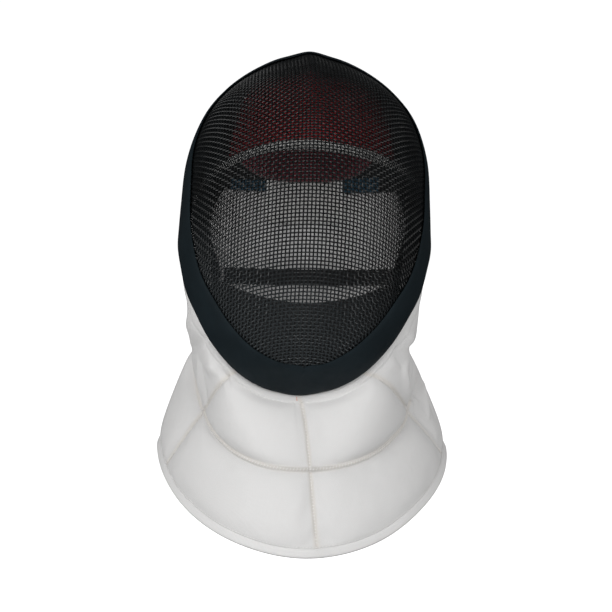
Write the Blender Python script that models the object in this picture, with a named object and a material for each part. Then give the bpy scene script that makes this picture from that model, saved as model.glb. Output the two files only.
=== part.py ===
"""Fencing mask: a bowl of woven wire with a taped edge, a padded lining and a quilted bib.

Metres, +Z up. The origin is the head seat, the underside of the crown pad over the middle of the
head. The face looks towards -Y. Lengths named here are in millimetres, and MM turns them to metres.
"""
import math

import bmesh
import bpy
import numpy as np

MM = 0.001
MASK_NAME = "fencing_mask"

# The wire bowl. One row for each section, from the back of the crown to the chin.
# keel_y, keel_z: where the section crosses the centre line.
# half_width, side_y, side_z: its widest point.
# rim_deg: the angle round the section, from the keel, at which the wire ends.
# The bowl has a soft ridge over the crown, and leans a little to one side above the bib.
BOWL_COLUMNS = ("keel_y", "keel_z", "half_width", "side_y", "side_z", "rim_deg")
BOWL_ROWS = (
    (58.0, 17.5, 13.0, 58.5, 15.0, 45.0),
    (38.0, 22.0, 33.5, 53.0, 9.0, 85.0),
    (8.0, 17.5, 52.5, 34.0, -3.5, 97.0),
    (-28.0, 8.5, 71.5, 16.0, -20.0, 99.0),
    (-64.0, -5.0, 87.0, -3.5, -43.0, 97.0),
    (-97.0, -32.0, 96.5, -19.0, -72.5, 92.0),
    (-124.0, -67.0, 99.0, -33.0, -106.0, 87.0),
    (-139.5, -104.0, 99.5, -46.0, -140.5, 83.0),
    (-145.0, -141.0, 94.5, -60.0, -176.5, 79.0),
    (-142.0, -172.0, 84.5, -68.0, -200.5, 75.0),
    (-132.0, -200.0, 71.5, -76.0, -221.0, 73.0),
    (-117.0, -225.0, 53.0, -82.0, -239.5, 71.0),
    (-100.0, -243.5, 32.0, -86.0, -250.0, 68.0),
    (-88.5, -254.3, 8.5, -86.8, -253.4, 64.0),
)
BOWL_LAST = len(BOWL_ROWS) - 1
SAMPLES = 200
ROW_MARGIN = 0.01
RIM_REACH = 0.036
RIM_TIP_LOSS = 0.18
RIM_TIP_SHARE = 0.012
RIM_SAMPLES = 600
RIM_END_SAMPLES = 23
MESH_THICKNESS = 2.0
MESH_CELLS_ROUND = 20
MESH_CELLS_DOWN = 27
MESH_END_CROWDING = 0.4
MESH_INSET_ROWS = 0.08
MESH_INSET = 3.0
RIDGE_HEIGHT = 7.4
RIDGE_HALF_WIDTH = 22.0
RIDGE_SOFTNESS = 6.0
RIDGE_FADE_ROW = 6.0
RIDGE_START_ROW = 1.6
RIDGE_FORWARD = 0.3
BOWL_LEAN = 0.037
BOWL_LEAN_FROM_Z = -120.0

# The edge trim: a U round the rim, with a wide outer leg and a narrow inner one. The lug is a low
# swelling of the outer leg over each end of the back strap.
TRIM_WIDTH = 30.0
TRIM_INNER_WIDTH = 14.0
TRIM_THICKNESS = 1.8
TRIM_GAP = 0.9
TRIM_STATIONS = 80
TRIM_OUTER_CELLS = 4
TRIM_BEND_CELLS = 2
TRIM_INNER_CELLS = 2
TRIM_LUG_HEIGHT = 1.2
TRIM_LUG_ROW = 7.15
TRIM_LUG_ROWS = 0.35

# The bib. Each ring runs from its left end, round the front, to its right end.
# end_deg: how far the ring reaches round each side. half_width, centre_y, depth: its plan.
# side_z, front_drop: its height at the sides and how much lower its front is. power: its fall.
# Puffs are the padding's heights in the four quilted panels, from left to right. Diagonals are
# the two slanting seams' places round the bib at the trim, the long seam and the hem.
BIB_COLUMNS = ("end_deg", "half_width", "centre_x", "centre_y", "depth",
               "side_z", "front_drop", "power")
BIB_SEAM_RING = (98.0, 88.3, 0.0, 0.0, 101.0, -206.0, 112.0, 0.5)
BIB_HEM_RING = (104.0, 121.0, 2.8, 5.0, 115.0, -307.0, 78.0, 1.15)
BIB_RING_SOFTNESS = 0.005
BIB_TOP_ROW = 6.4
BIB_TOP_OUT = 4.7
BIB_TOP_IN = 1.2
BIB_TOP_TURN = 0.25
BIB_TOP_STEP_ROWS = 0.15
BIB_TIP_BLEND = 3.0
BIB_UPPER_FACING = 0.98
BIB_LOWER_FACING = 1.5
BIB_TURN_FROM = 0.8
BIB_TURN_OVER = 0.4
BIB_WALL = 3.2
BIB_UPPER_PUFFS = (1.6, 5.0, 5.0, 1.6)
BIB_LOWER_PUFFS = (5.5, 5.5, 5.5, 7.0)
BIB_PUFF_POWER = 0.55
BIB_DIAGONALS = (0.37, 0.66, 0.73)
BIB_TWIST_DEG = (0.0, 3.0, 4.0)
BIB_CELLS_ROUND = 40
BIB_CELLS_DOWN = 12
BIB_SEAM_KNOT = 0.6
HEM_WIDTH = 7.0
HEM_THICKNESS = 4.2
HEM_GAP = 0.35

# The lining. Rows and degrees are those of the bowl. A cheek's inner edge is pairs of the two.
PAD_GAP = 1.0
PAD_EDGE_LOSS = 0.5
CROWN_PAD_THICKNESS = 16.6
CROWN_PAD_FRONT_THICKNESS = 9.0
CROWN_PAD_TAPER = 0.6
CROWN_PAD_BACK_ROW = 1.25
CROWN_PAD_FRONT_ROW = 5.58
CROWN_PAD_BACK_DEG = 30.0
CROWN_PAD_FRONT_DEG = 43.0
ARCH_FALL_ROWS = (0.75, 0.25)
ARCH_FALL_DEG = 76.0
ARCH_FALL_POWERS = (3.0, 1.2)
BINDING_END_DEG = 68.0
BINDING_WIDTH_ROWS = 0.15
BINDING_THICKNESS = 8.5
BINDING_GAP_ROWS = 0.02
BINDING_END_LOSS = 0.35
SIDE_PAD_DEGS = (46.0, 71.0)
SIDE_PAD_BACK_ROW = 3.6
SIDE_PAD_THICKNESS = 14.0
CHEEK_INNER_EDGE = ((5.9, 44.0), (6.36, 45.0), (6.6, 51.5), (7.0, 55.5), (7.5, 53.5), (7.95, 50.0),
                    (8.6, 49.0))
CHEEK_TOP_GAP_ROWS = 0.21
CHEEK_BOTTOM_GAP_ROWS = 0.05
CHEEK_THICKNESS = 4.0
CHIN_TOP_ROW = 9.35
CHIN_RISE_ROWS = 0.72
CHIN_RISE_DEG = 44.0
CHIN_END_ROW = 11.8
CHIN_END_RISE_ROWS = 0.85
CHIN_THICKNESS = 5.0
LINING_RIM_MARGIN = 24.0
HALVINGS = 12

# The back of the head: the tongue's inner face in side view, from the crown down, as y and z.
TONGUE_PATH = ((42.0, 9.2), (53.0, 7.8), (66.0, 2.0), (77.0, -9.0), (84.0, -30.0),
               (87.0, -60.0), (86.5, -92.0), (84.0, -119.0), (81.0, -150.0), (77.0, -190.0))
REAR_CENTRE_X = 5.0
REAR_SAG_RADIUS = 110.0
TONGUE_END = 7.0
TONGUE_HALF_WIDTH = 32.5
TONGUE_TOP_SHARE = 0.5
TONGUE_WIDE_FROM = 3.0
TONGUE_REAR_FROM = 3.0
TONGUE_THICKNESS = 5.0
NAPE_HALF_WIDTH = 60.0
NAPE_TOP_Z = -14.0
NAPE_BOTTOM_Z = -83.0
NAPE_THICKNESS = 12.0
NAPE_GAP = 0.45
REAR_GAP = 0.7
LENS_FILL = 0.999
NAPE_OUTLINE_POWER = 3.0
NAPE_END_SHARE = 0.3
NAPE_CORNER_RISE = 6.0
NAPE_LINING_HALF_WIDTH = 84.0
NAPE_LINING_TOP_Z = -32.0
NAPE_LINING_BOTTOM_Z = -83.0
NAPE_LINING_THICKNESS = 3.0
OCCIPUT_HALF_WIDTH = 86.0
OCCIPUT_TOP_Z = -93.5
OCCIPUT_BOTTOM_Z = -188.0
OCCIPUT_THICKNESS = 6.0
OCCIPUT_OUTLINE_POWER = 5.0
OCCIPUT_END_SHARE = 0.72
BAND_HALF_WIDTH = 61.0
BAND_TOP_Z = -83.5
BAND_BOTTOM_Z = -93.0
BAND_THICKNESS = 1.8

# The back strap: straight along each side, then half an ellipse behind the head.
STRAP_CENTRE_X = -1.2
STRAP_HALF_SPAN = 88.1
STRAP_FRONT_Y = -75.0
STRAP_TURN_Y = -18.0
STRAP_BACK_Y = 82.5
STRAP_CENTRE_Z = -166.5
STRAP_END_RISE = 11.0
STRAP_WIDTH = 14.0
STRAP_THICKNESS = 1.6
STRAP_CELLS = 30
SLIDER_ALONG = 0.59
SLIDER_LENGTH = 7.0
SLIDER_WALL = 2.2
SLIDER_GAP = 0.35
SLIDER_SLACK = 0.3


def spline_rows(rows, position):
    """Values of a table at fractional row numbers, by a Catmull-Rom curve through its rows."""
    table = np.asarray(rows, float)
    last = len(table) - 1
    position = np.clip(np.asarray(position, float), 0.0, last)
    first = np.clip(np.floor(position).astype(int), 0, last - 1)
    t = (position - first)[..., None]
    padded = np.vstack([2 * table[0] - table[1], table, 2 * table[-1] - table[-2]])
    p0, p1, p2, p3 = (padded[first + step] for step in range(4))
    return 0.5 * (2 * p1 + (p2 - p0) * t + (2 * p0 - 5 * p1 + 4 * p2 - p3) * t ** 2
                  + (3 * p1 - p0 - 3 * p2 + p3) * t ** 3)


def bowl_row(row, column):
    """One column of the bowl's table at fractional row numbers."""
    return spline_rows(BOWL_ROWS, row)[..., BOWL_COLUMNS.index(column)]


def bowl_point(row, angle):
    """The middle surface of the wire at a section and an angle round it, in radians."""
    values = spline_rows(BOWL_ROWS, row)
    keel_y, keel_z, half_width, side_y, side_z = (values[..., i] for i in range(5))
    x = half_width * np.sin(angle)
    y = side_y + (keel_y - side_y) * np.cos(angle)
    z = side_z + (keel_z - side_z) * np.cos(angle)
    row = np.asarray(row, float)
    fade = np.clip(1.0 - row / RIDGE_FADE_ROW, 0.0, 1.0) * np.clip(row / RIDGE_START_ROW, 0.0, 1.0)
    off_ridge = np.hypot(x, RIDGE_SOFTNESS) / RIDGE_HALF_WIDTH
    ridge = RIDGE_HEIGHT * fade * np.clip(1.0 - off_ridge, 0.0, 1.0) ** 2
    lean = BOWL_LEAN * (z - BOWL_LEAN_FROM_Z)
    return np.stack([x + lean, y - RIDGE_FORWARD * ridge, z + ridge], axis=-1)


def unit(vectors):
    return vectors / np.linalg.norm(vectors, axis=-1, keepdims=True)


def bowl_slopes(row, angle):
    """How the surface moves with the row and with the angle."""
    step = 0.002
    along = (bowl_point(row + step, angle) - bowl_point(row - step, angle)) / (2 * step)
    around = (bowl_point(row, angle + step) - bowl_point(row, angle - step)) / (2 * step)
    return along, around


def bowl_normal(row, angle):
    """The direction out of the bowl, away from the head."""
    row = np.clip(row, ROW_MARGIN, BOWL_LAST - ROW_MARGIN)
    along, around = bowl_slopes(row, angle)
    return unit(np.cross(along, around))


def bowl_offset(row, angle, outwards):
    """A point at a distance out of the bowl's middle surface, or into the bowl if negative."""
    return bowl_point(row, angle) + bowl_normal(row, angle) * np.asarray(outwards)[..., None]


def rim_angle(row):
    return np.radians(bowl_row(row, "rim_deg"))


def rim_loop(stations):
    """Rows and angles evenly spaced round the rim, from the chin's tip up the left side."""
    down_side = np.linspace(0.0, BOWL_LAST, RIM_SAMPLES)
    half_end = np.linspace(0.0, 1.0, RIM_END_SAMPLES)[:-1]
    crown = -half_end[::-1] * rim_angle(0.0)
    rows = np.concatenate([np.full_like(half_end, BOWL_LAST), down_side[::-1], np.zeros_like(crown)])
    angles = np.concatenate([-half_end * rim_angle(BOWL_LAST), -rim_angle(down_side[::-1]), crown])
    rows = np.append(rows, rows[-2::-1])
    angles = np.append(angles, -angles[-2::-1])
    points = bowl_point(rows, angles)
    length = np.concatenate([[0.0], np.cumsum(np.linalg.norm(np.diff(points, axis=0), axis=1))])
    wanted = stations * length[-1]
    return np.interp(wanted, length, rows), np.interp(wanted, length, angles)


def rim_frame(fraction):
    """Row, angle and the direction along the rim at fractions of its whole length."""
    fraction = np.mod(fraction, 1.0)
    row, angle = rim_loop(fraction)
    ahead = bowl_point(*rim_loop(np.mod(fraction + RIM_REACH, 1.0)))
    behind = bowl_point(*rim_loop(np.mod(fraction - RIM_REACH, 1.0)))
    return row, angle, unit(ahead - behind)


def walk_from_rim(fraction, distance):
    """A point of the bowl at a distance in from the rim, found by short steps on the surface.

    The distance is a little shorter at the chin's tip, where the ways in from both sides meet.
    """
    row, angle, along_rim = rim_frame(fraction)
    from_tip = np.minimum(fraction, 1.0 - fraction) / RIM_TIP_SHARE
    distance = distance * (1.0 - RIM_TIP_LOSS * np.exp(-from_tip ** 2))
    steps = 8
    for _ in range(steps):
        safe_row = np.clip(row, ROW_MARGIN, BOWL_LAST - ROW_MARGIN)
        along, around = bowl_slopes(safe_row, angle)
        out = unit(np.cross(along, around))
        inward = unit(np.cross(along_rim, out))
        a, b, c = ((p * q).sum(-1) for p, q in ((along, along), (along, around), (around, around)))
        p, q = (inward * along).sum(-1), (inward * around).sum(-1)
        scale = distance / steps / (a * c - b * b)
        row = row + (p * c - q * b) * scale
        angle = angle + (q * a - p * b) * scale
    return row, angle


def slab(name, cells_u, cells_v, place, closed_u=False):
    """A closed wall: a grid over u and v from -1 to 1, thickened in w from 0 to 1, then placed."""
    bm = bmesh.new()
    bmesh.ops.create_grid(bm, x_segments=cells_u, y_segments=cells_v, size=1.0)
    copied = bmesh.ops.extrude_face_region(bm, geom=bm.faces[:])["geom"]
    for vertex in copied:
        if isinstance(vertex, bmesh.types.BMVert):
            vertex.co.z = 1.0
    if closed_u:
        ends = [f for f in bm.faces if len({round(v.co.x, 4) for v in f.verts}) == 1]
        bmesh.ops.delete(bm, geom=ends, context="FACES_ONLY")
    grid = np.array([v.co for v in bm.verts])
    placed = place(grid[:, 0], grid[:, 1], grid[:, 2]) * MM
    for vertex, position in zip(bm.verts, placed):
        vertex.co = position
    if closed_u:
        bmesh.ops.remove_doubles(bm, verts=bm.verts[:], dist=0.00001)
    bmesh.ops.recalc_face_normals(bm, faces=bm.faces[:])
    if bm.calc_volume(signed=True) < 0.0:
        bmesh.ops.reverse_faces(bm, faces=bm.faces[:])
    mesh = bpy.data.meshes.new(name)
    bm.to_mesh(mesh)
    bm.free()
    return mesh


def add_piece(collection, name, mesh, material):
    """Put a mesh in the scene under its own name, shaded smooth but for its sharp edges."""
    mesh.shade_smooth()
    mesh.set_sharp_from_angle(angle=math.radians(40.0))
    mesh.materials.append(material)
    piece = bpy.data.objects.new(name, mesh)
    collection.objects.link(piece)
    return piece


def make_material(name, colour, roughness, metallic=0.0):
    material = bpy.data.materials.new(name)
    material.use_nodes = True
    shader = material.node_tree.nodes["Principled BSDF"]
    shader.inputs["Base Color"].default_value = (*colour, 1.0)
    shader.inputs["Roughness"].default_value = roughness
    shader.inputs["Metallic"].default_value = metallic
    return material


def wire_mesh():
    """The bowl of woven wire, as one shell as thick as two crossing wires."""
    def place(u, v, w):
        share = (v + 1.0) / 2.0
        share = share - MESH_END_CROWDING * np.sin(2.0 * math.pi * share) / (2.0 * math.pi)
        row = MESH_INSET_ROWS + share * (BOWL_LAST - 2.0 * MESH_INSET_ROWS)
        angle = u * (rim_angle(row) - MESH_INSET / bowl_row(row, "half_width"))
        return bowl_offset(row, angle, (w - 0.5) * MESH_THICKNESS)
    return slab("wire_mesh", MESH_CELLS_ROUND, MESH_CELLS_DOWN, place)


def trim_profile(v):
    """The U in its own plane: the distance in from the rim, the offset out, and the way it faces."""
    clear = MESH_THICKNESS / 2 + TRIM_GAP + TRIM_THICKNESS / 2
    cells = TRIM_OUTER_CELLS + TRIM_BEND_CELLS + TRIM_INNER_CELLS
    place = (v + 1.0) / 2.0 * cells
    outer = np.clip(place / TRIM_OUTER_CELLS, 0.0, 1.0)
    bend = np.clip((place - TRIM_OUTER_CELLS) / TRIM_BEND_CELLS, 0.0, 1.0) * math.pi
    inner = np.clip((place - TRIM_OUTER_CELLS - TRIM_BEND_CELLS) / TRIM_INNER_CELLS, 0.0, 1.0)
    inwards = TRIM_WIDTH * (1.0 - outer) + TRIM_INNER_WIDTH * inner
    return inwards, clear * np.cos(bend), -clear * np.sin(bend), bend


def edge_trim():
    """The band round the rim. It is a little proud at each side, over the strap's end."""
    def place(u, v, w):
        fraction = (u + 1.0) / 2.0
        inwards, out, beyond, bend = trim_profile(v)
        row, angle = walk_from_rim(fraction, inwards)
        _, _, along_rim = rim_frame(fraction)
        normal = bowl_normal(row, angle)
        inward = unit(np.cross(along_rim, normal))
        shift = (w - 0.5) * TRIM_THICKNESS
        lug = TRIM_LUG_HEIGHT * np.exp(-((row - TRIM_LUG_ROW) / TRIM_LUG_ROWS) ** 2)
        lug = lug * w * (bend < 1.0) * np.clip(1.0 - inwards / TRIM_WIDTH, 0.0, 1.0)
        level = out + shift * np.cos(bend) + lug
        reach = beyond - shift * np.sin(bend)
        return bowl_point(row, angle) + normal * level[..., None] + inward * reach[..., None]
    cells = TRIM_OUTER_CELLS + TRIM_BEND_CELLS + TRIM_INNER_CELLS
    return slab("edge_trim", TRIM_STATIONS, cells, place, closed_u=True)


def bib_ring(ring, around):
    """A ring of the bib at positions from -1, its left end, to 1, its right end."""
    shape = dict(zip(BIB_COLUMNS, ring))
    angle = np.radians(shape["end_deg"]) * around
    front = np.cos(angle)
    fall = (0.5 * (front + np.sqrt(front ** 2 + BIB_RING_SOFTNESS))) ** shape["power"]
    return np.stack([shape["centre_x"] + shape["half_width"] * np.sin(angle),
                     shape["centre_y"] - shape["depth"] * np.cos(angle),
                     shape["side_z"] - shape["front_drop"] * fall], axis=-1)


def bib_top_frame(around):
    """The bib's upper edge, where it butts against the trim just behind the rim, and its normal."""
    rows = np.linspace(BOWL_LAST, BIB_TOP_ROW, SAMPLES)
    side = bowl_point(rows, rim_angle(rows))
    start = side[0, 0]
    length = start + np.concatenate([[0], np.cumsum(np.linalg.norm(np.diff(side, axis=0), axis=1))])
    wanted = np.abs(around) * length[-1]
    row = np.interp(wanted, length, rows)
    angle = np.sign(around) * rim_angle(row) * np.clip(wanted / start, 0.0, 1.0)
    higher_row = row - BIB_TOP_STEP_ROWS
    lower_row = np.minimum(row + BIB_TOP_STEP_ROWS, BOWL_LAST)
    ahead = bowl_point(higher_row, np.sign(around) * rim_angle(higher_row))
    behind = bowl_point(lower_row, np.sign(around) * rim_angle(lower_row))
    along_rim = unit(ahead - behind) * np.sign(around)[..., None]
    blend = np.clip(wanted / (BIB_TIP_BLEND * start), 0.0, 1.0)[..., None]
    along_rim = unit(along_rim * blend + np.array([1.0, 0.0, 0.0]) * (1.0 - blend))
    normal = bowl_normal(row, angle)
    away = unit(np.cross(along_rim, normal))
    return bowl_point(row, angle) + away * BIB_TOP_OUT - normal * BIB_TOP_IN, normal


def bib_base(around, down):
    """The seam-level surface: down is 0 at the trim, 1 at the long seam and 2 at the hem."""
    top, _ = bib_top_frame(around)
    seam, hem = bib_ring(BIB_SEAM_RING, around), bib_ring(BIB_HEM_RING, around)
    upper = np.clip(down, 0.0, 1.0)[..., None]
    lower = np.clip(down - 1.0, 0.0, 1.0)[..., None]
    return np.where(lower > 0.0, seam + (hem - seam) * lower, top + (seam - top) * upper)


def bib_seams(down):
    """Where the upright seams and the bib's two ends lie, at a height down the bib."""
    centre = np.interp(down, (0.0, 1.0, 2.0), BIB_TWIST_DEG) / BIB_SEAM_RING[0]
    diagonal = np.interp(down, (0.0, 1.0, 2.0), BIB_DIAGONALS)
    end = np.ones_like(centre)
    return (-end, centre - diagonal, centre, centre + diagonal, end)


def bib_around(u, down):
    """Spread a grid's columns so that one of them runs down each seam."""
    knots = (-1.0, -BIB_SEAM_KNOT, 0.0, BIB_SEAM_KNOT, 1.0)
    seams = bib_seams(down)
    around = np.zeros_like(u)
    for index in range(len(knots) - 1):
        share = np.clip((u - knots[index]) / (knots[index + 1] - knots[index]), 0.0, 1.0)
        here = (u >= knots[index]) & (u <= knots[index + 1])
        around = np.where(here, seams[index] + (seams[index + 1] - seams[index]) * share, around)
    return around


def bib_puff(around, down):
    """How far the padding stands out between its seams."""
    seams = bib_seams(down)
    downward = np.abs(np.sin(math.pi * np.clip(down, 0.0, 2.0)))
    puff = np.zeros_like(around)
    for index, (left, right) in enumerate(zip(seams[:-1], seams[1:])):
        across = np.clip((around - left) / (right - left), 0.0, 1.0)
        height = np.where(down < 1.0, BIB_UPPER_PUFFS[index], BIB_LOWER_PUFFS[index])
        puff = np.maximum(puff, height * (np.sin(math.pi * across) * downward) ** BIB_PUFF_POWER)
    return puff


def bib_outward(around, down):
    """The way out of the seam-level surface, found from short steps round it and down it."""
    step = 0.02
    right, left = np.minimum(around + step, 1.0), np.maximum(around - step, -1.0)
    side = bib_base(right, down) - bib_base(left, down)
    lower = np.maximum(down, np.where(down > 1.0, 1.0 + step, step))
    fall = bib_base(around, lower) - bib_base(around, lower - 0.9 * step)
    return unit(np.cross(fall, side))


def bib_point(around, down, out):
    """A point of the bib's wall: out is 0 on the inside and 1 on the padded outside."""
    seam_out = bib_outward(around, np.full_like(down, BIB_UPPER_FACING))
    hem_out = bib_outward(around, np.full_like(down, BIB_LOWER_FACING))
    turn = np.clip((down - BIB_TURN_FROM) / BIB_TURN_OVER, 0.0, 1.0)[..., None]
    outward = unit(seam_out * (1.0 - turn) + hem_out * turn)
    _, trim_out = bib_top_frame(around)
    leave = np.clip(down / BIB_TOP_TURN, 0.0, 1.0)[..., None]
    outward = unit(trim_out * (1.0 - leave) + outward * leave)
    level = -BIB_WALL / 2 + out * (BIB_WALL + bib_puff(around, down))
    return bib_base(around, down) + outward * np.asarray(level)[..., None]


def bib_hem_down(around):
    """Where the bib's cloth stops above its hem band, in the units of down."""
    ring_gap = bib_ring(BIB_HEM_RING, around) - bib_ring(BIB_SEAM_RING, around)
    return 2.0 - HEM_WIDTH / np.linalg.norm(ring_gap, axis=-1)


def bib():
    """The quilted collar, hollow and open at the back and below."""
    def place(u, v, w):
        end = bib_hem_down(bib_around(u, np.full_like(u, 2.0)))
        upper = np.clip(1.0 - v, 0.0, 1.0)
        lower = np.clip(-v, 0.0, 1.0)
        down = upper + lower * (end - 1.0)
        return bib_point(bib_around(u, down), down, w)
    return slab("bib", BIB_CELLS_ROUND, BIB_CELLS_DOWN, place)


def bib_hem():
    """The folded band along the bib's lower edge."""
    def place(u, v, w):
        around = bib_around(u, np.full_like(u, 2.0))
        length = HEM_WIDTH / (2.0 - bib_hem_down(around))
        start = bib_hem_down(around) + HEM_GAP / length
        down = start + (1.0 - v) / 2.0 * (2.0 - start)
        outward = bib_outward(around, np.full_like(down, BIB_LOWER_FACING))
        seam_level = bib_base(around, down)
        return seam_level + outward * ((w - 0.5) * HEM_THICKNESS)[..., None]
    return slab("bib_hem", BIB_CELLS_ROUND, 1, place)


def arch_row(degrees):
    """The lining's front edge over the forehead, as a row of the bowl."""
    share = np.abs(degrees) / ARCH_FALL_DEG
    left, right = (rows * share ** power for rows, power in zip(ARCH_FALL_ROWS, ARCH_FALL_POWERS))
    return CROWN_PAD_FRONT_ROW + np.where(degrees < 0.0, left, right)


def crown_pad():
    """The thick pad under the crown, rounded off at its edges."""
    def place(u, v, w):
        forward = (1.0 - v) / 2.0
        degrees = u * (CROWN_PAD_BACK_DEG + (CROWN_PAD_FRONT_DEG - CROWN_PAD_BACK_DEG) * forward)
        row = CROWN_PAD_BACK_ROW + (arch_row(degrees) - CROWN_PAD_BACK_ROW) * forward
        angle = np.radians(degrees)
        thin = CROWN_PAD_FRONT_THICKNESS
        full = np.clip((1.0 - forward) / CROWN_PAD_TAPER, 0.0, 1.0)
        thickness = thin + (CROWN_PAD_THICKNESS - thin) * full
        thickness = thickness * (1.0 - PAD_EDGE_LOSS * np.abs(u) ** 6)
        return bowl_offset(row, angle, -MESH_THICKNESS / 2 - PAD_GAP - (1.0 - w) * thickness)
    return slab("crown_pad", 12, 12, place)


def forehead_binding():
    """The pale tape over the lining's front edge, from temple to temple."""
    def place(u, v, w):
        degrees = u * BINDING_END_DEG
        row = arch_row(degrees) + BINDING_GAP_ROWS + BINDING_WIDTH_ROWS * (1.0 - v) / 2.0
        depth = BINDING_THICKNESS * (1.0 - BINDING_END_LOSS * np.abs(u) ** 3)
        return bowl_offset(row, np.radians(degrees),
                           -MESH_THICKNESS / 2 - PAD_GAP - (1.0 - w) * depth)
    return slab("forehead_binding", 26, 1, place)


def side_pad(side):
    """The dark pad down one temple and cheek. side is -1 for the left and 1 for the right."""
    def place(u, v, w):
        low, high = SIDE_PAD_DEGS
        degrees = low + (high - low) * (u + 1.0) / 2.0
        front = arch_row(side * degrees)
        row = SIDE_PAD_BACK_ROW + (front - SIDE_PAD_BACK_ROW) * (1.0 - v) / 2.0
        depth = SIDE_PAD_THICKNESS * (1.0 - PAD_EDGE_LOSS * np.abs(u) ** 4)
        return bowl_offset(row, side * np.radians(degrees),
                           -MESH_THICKNESS / 2 - PAD_GAP - (1.0 - w) * depth)
    return slab("side_pad", 5, 9, place)


def lining_end(row):
    """How far round a row, in degrees, the thin linings reach: just under the trim.

    The row depends on how far round it is, so their shapes are found in a few halving steps.
    """
    row = np.clip(row, 0.0, BOWL_LAST)
    return bowl_row(row, "rim_deg") - np.degrees(LINING_RIM_MARGIN / bowl_row(row, "half_width"))


def chin_top_row(degrees):
    """The chin lining's hollow upper edge, as a row of the bowl."""
    return CHIN_TOP_ROW - CHIN_RISE_ROWS * (degrees / CHIN_RISE_DEG) ** 2


def cheek_lining(side):
    """The thin dark lining of one cheek, from the forehead binding down to the chin lining."""
    def place(u, v, w):
        down = (1.0 - v) / 2.0
        degrees = np.full_like(u, CHEEK_INNER_EDGE[0][1])
        for _ in range(HALVINGS):
            top = arch_row(side * degrees) + CHEEK_TOP_GAP_ROWS
            bottom = chin_top_row(degrees) - CHEEK_BOTTOM_GAP_ROWS
            row = top + (bottom - top) * down
            inner = np.interp(row, *zip(*CHEEK_INNER_EDGE))
            wanted = inner + (lining_end(row) - inner) * (u + 1.0) / 2.0
            degrees = (degrees + wanted) / 2.0
        return bowl_offset(row, side * np.radians(degrees),
                           -MESH_THICKNESS / 2 - PAD_GAP - (1.0 - w) * CHEEK_THICKNESS)
    return slab("cheek_lining", 5, 8, place)


def chin_lining():
    """The charcoal lining behind the lower wire, with a hollow upper edge, clear of the trim."""
    def place(u, v, w):
        down = (1.0 - v) / 2.0
        level = CHIN_TOP_ROW + (CHIN_END_ROW - CHIN_TOP_ROW) * down
        rise = CHIN_RISE_ROWS * (1.0 - down) + CHIN_END_RISE_ROWS * down
        reach = np.full_like(u, CHIN_RISE_DEG)
        for _ in range(HALVINGS):
            reach = (reach + lining_end(level - rise * (reach / CHIN_RISE_DEG) ** 2)) / 2.0
        degrees = u * reach
        row = level - rise * (degrees / CHIN_RISE_DEG) ** 2
        return bowl_offset(row, np.radians(degrees),
                           -MESH_THICKNESS / 2 - PAD_GAP - (1.0 - w) * CHIN_THICKNESS)
    return slab("chin_lining", 16, 7, place)


def rear_point(x, along, inwards):
    """A point behind the head: across, along the tongue's path, and in towards the head."""
    last = len(TONGUE_PATH) - 1
    centre = spline_rows(TONGUE_PATH, along)
    step = 0.05
    ahead = spline_rows(TONGUE_PATH, np.minimum(along + step, last))
    behind = spline_rows(TONGUE_PATH, np.maximum(along - step, 0.0))
    path = unit(ahead - behind)
    inward = np.stack([path[..., 1], -path[..., 0]], axis=-1)
    sag = REAR_SAG_RADIUS - np.sqrt(REAR_SAG_RADIUS ** 2 - np.asarray(x) ** 2)
    side_view = centre + inward * (sag + inwards)[..., None]
    across = REAR_CENTRE_X + x - x / REAR_SAG_RADIUS * inwards
    return np.stack([across, side_view[..., 0], side_view[..., 1]], axis=-1)


def tongue_along(height):
    """Where the tongue's path passes a height, for heights behind the head."""
    along = np.linspace(TONGUE_REAR_FROM, len(TONGUE_PATH) - 1, SAMPLES)
    heights = spline_rows(TONGUE_PATH, along)[:, 1]
    return np.interp(-np.asarray(height, float), -heights, along)


def rear_tongue():
    """The sprung tongue that comes down behind the head, in its pale cover."""
    def place(u, v, w):
        along = (1.0 - v) / 2.0 * TONGUE_END
        widening = (1.0 - TONGUE_TOP_SHARE) * np.clip(along / TONGUE_WIDE_FROM, 0.0, 1.0)
        width = TONGUE_HALF_WIDTH * (TONGUE_TOP_SHARE + widening)
        return rear_point(u * width, along, -w * TONGUE_THICKNESS)
    return slab("rear_tongue", 6, 18, place)


def lens(u, v, half_width, power, end_share):
    """Widths of a cushion whose two sides bow out between its top and its bottom."""
    span = (1.0 - LENS_FILL * np.abs(v) ** power) ** (1.0 / power)
    return u * half_width * (end_share + (1.0 - end_share) * span)


def nape_pad():
    """The lens-shaped cushion in front of the tongue."""
    def place(u, v, w):
        x = lens(u, v, NAPE_HALF_WIDTH, NAPE_OUTLINE_POWER, NAPE_END_SHARE)
        height = NAPE_BOTTOM_Z + (NAPE_TOP_Z - NAPE_BOTTOM_Z) * (v + 1.0) / 2.0
        height = height + NAPE_CORNER_RISE * (x / NAPE_HALF_WIDTH) ** 2 * np.maximum(-v, 0.0)
        soft = 1.0 - PAD_EDGE_LOSS * np.maximum(np.abs(u), np.abs(v)) ** 4
        return rear_point(x, tongue_along(height), NAPE_GAP + (1.0 - w) * NAPE_THICKNESS * soft)
    return slab("nape_pad", 10, 7, place)


def nape_lining():
    """The dark lining behind the tongue's cover, from side to side, above the band."""
    def place(u, v, w):
        height = NAPE_LINING_TOP_Z + (NAPE_LINING_BOTTOM_Z - NAPE_LINING_TOP_Z) * (1.0 - v) / 2.0
        inwards = -TONGUE_THICKNESS - REAR_GAP - w * NAPE_LINING_THICKNESS
        return rear_point(u * NAPE_LINING_HALF_WIDTH, tongue_along(height), inwards)
    return slab("nape_lining", 12, 4, place)


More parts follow.
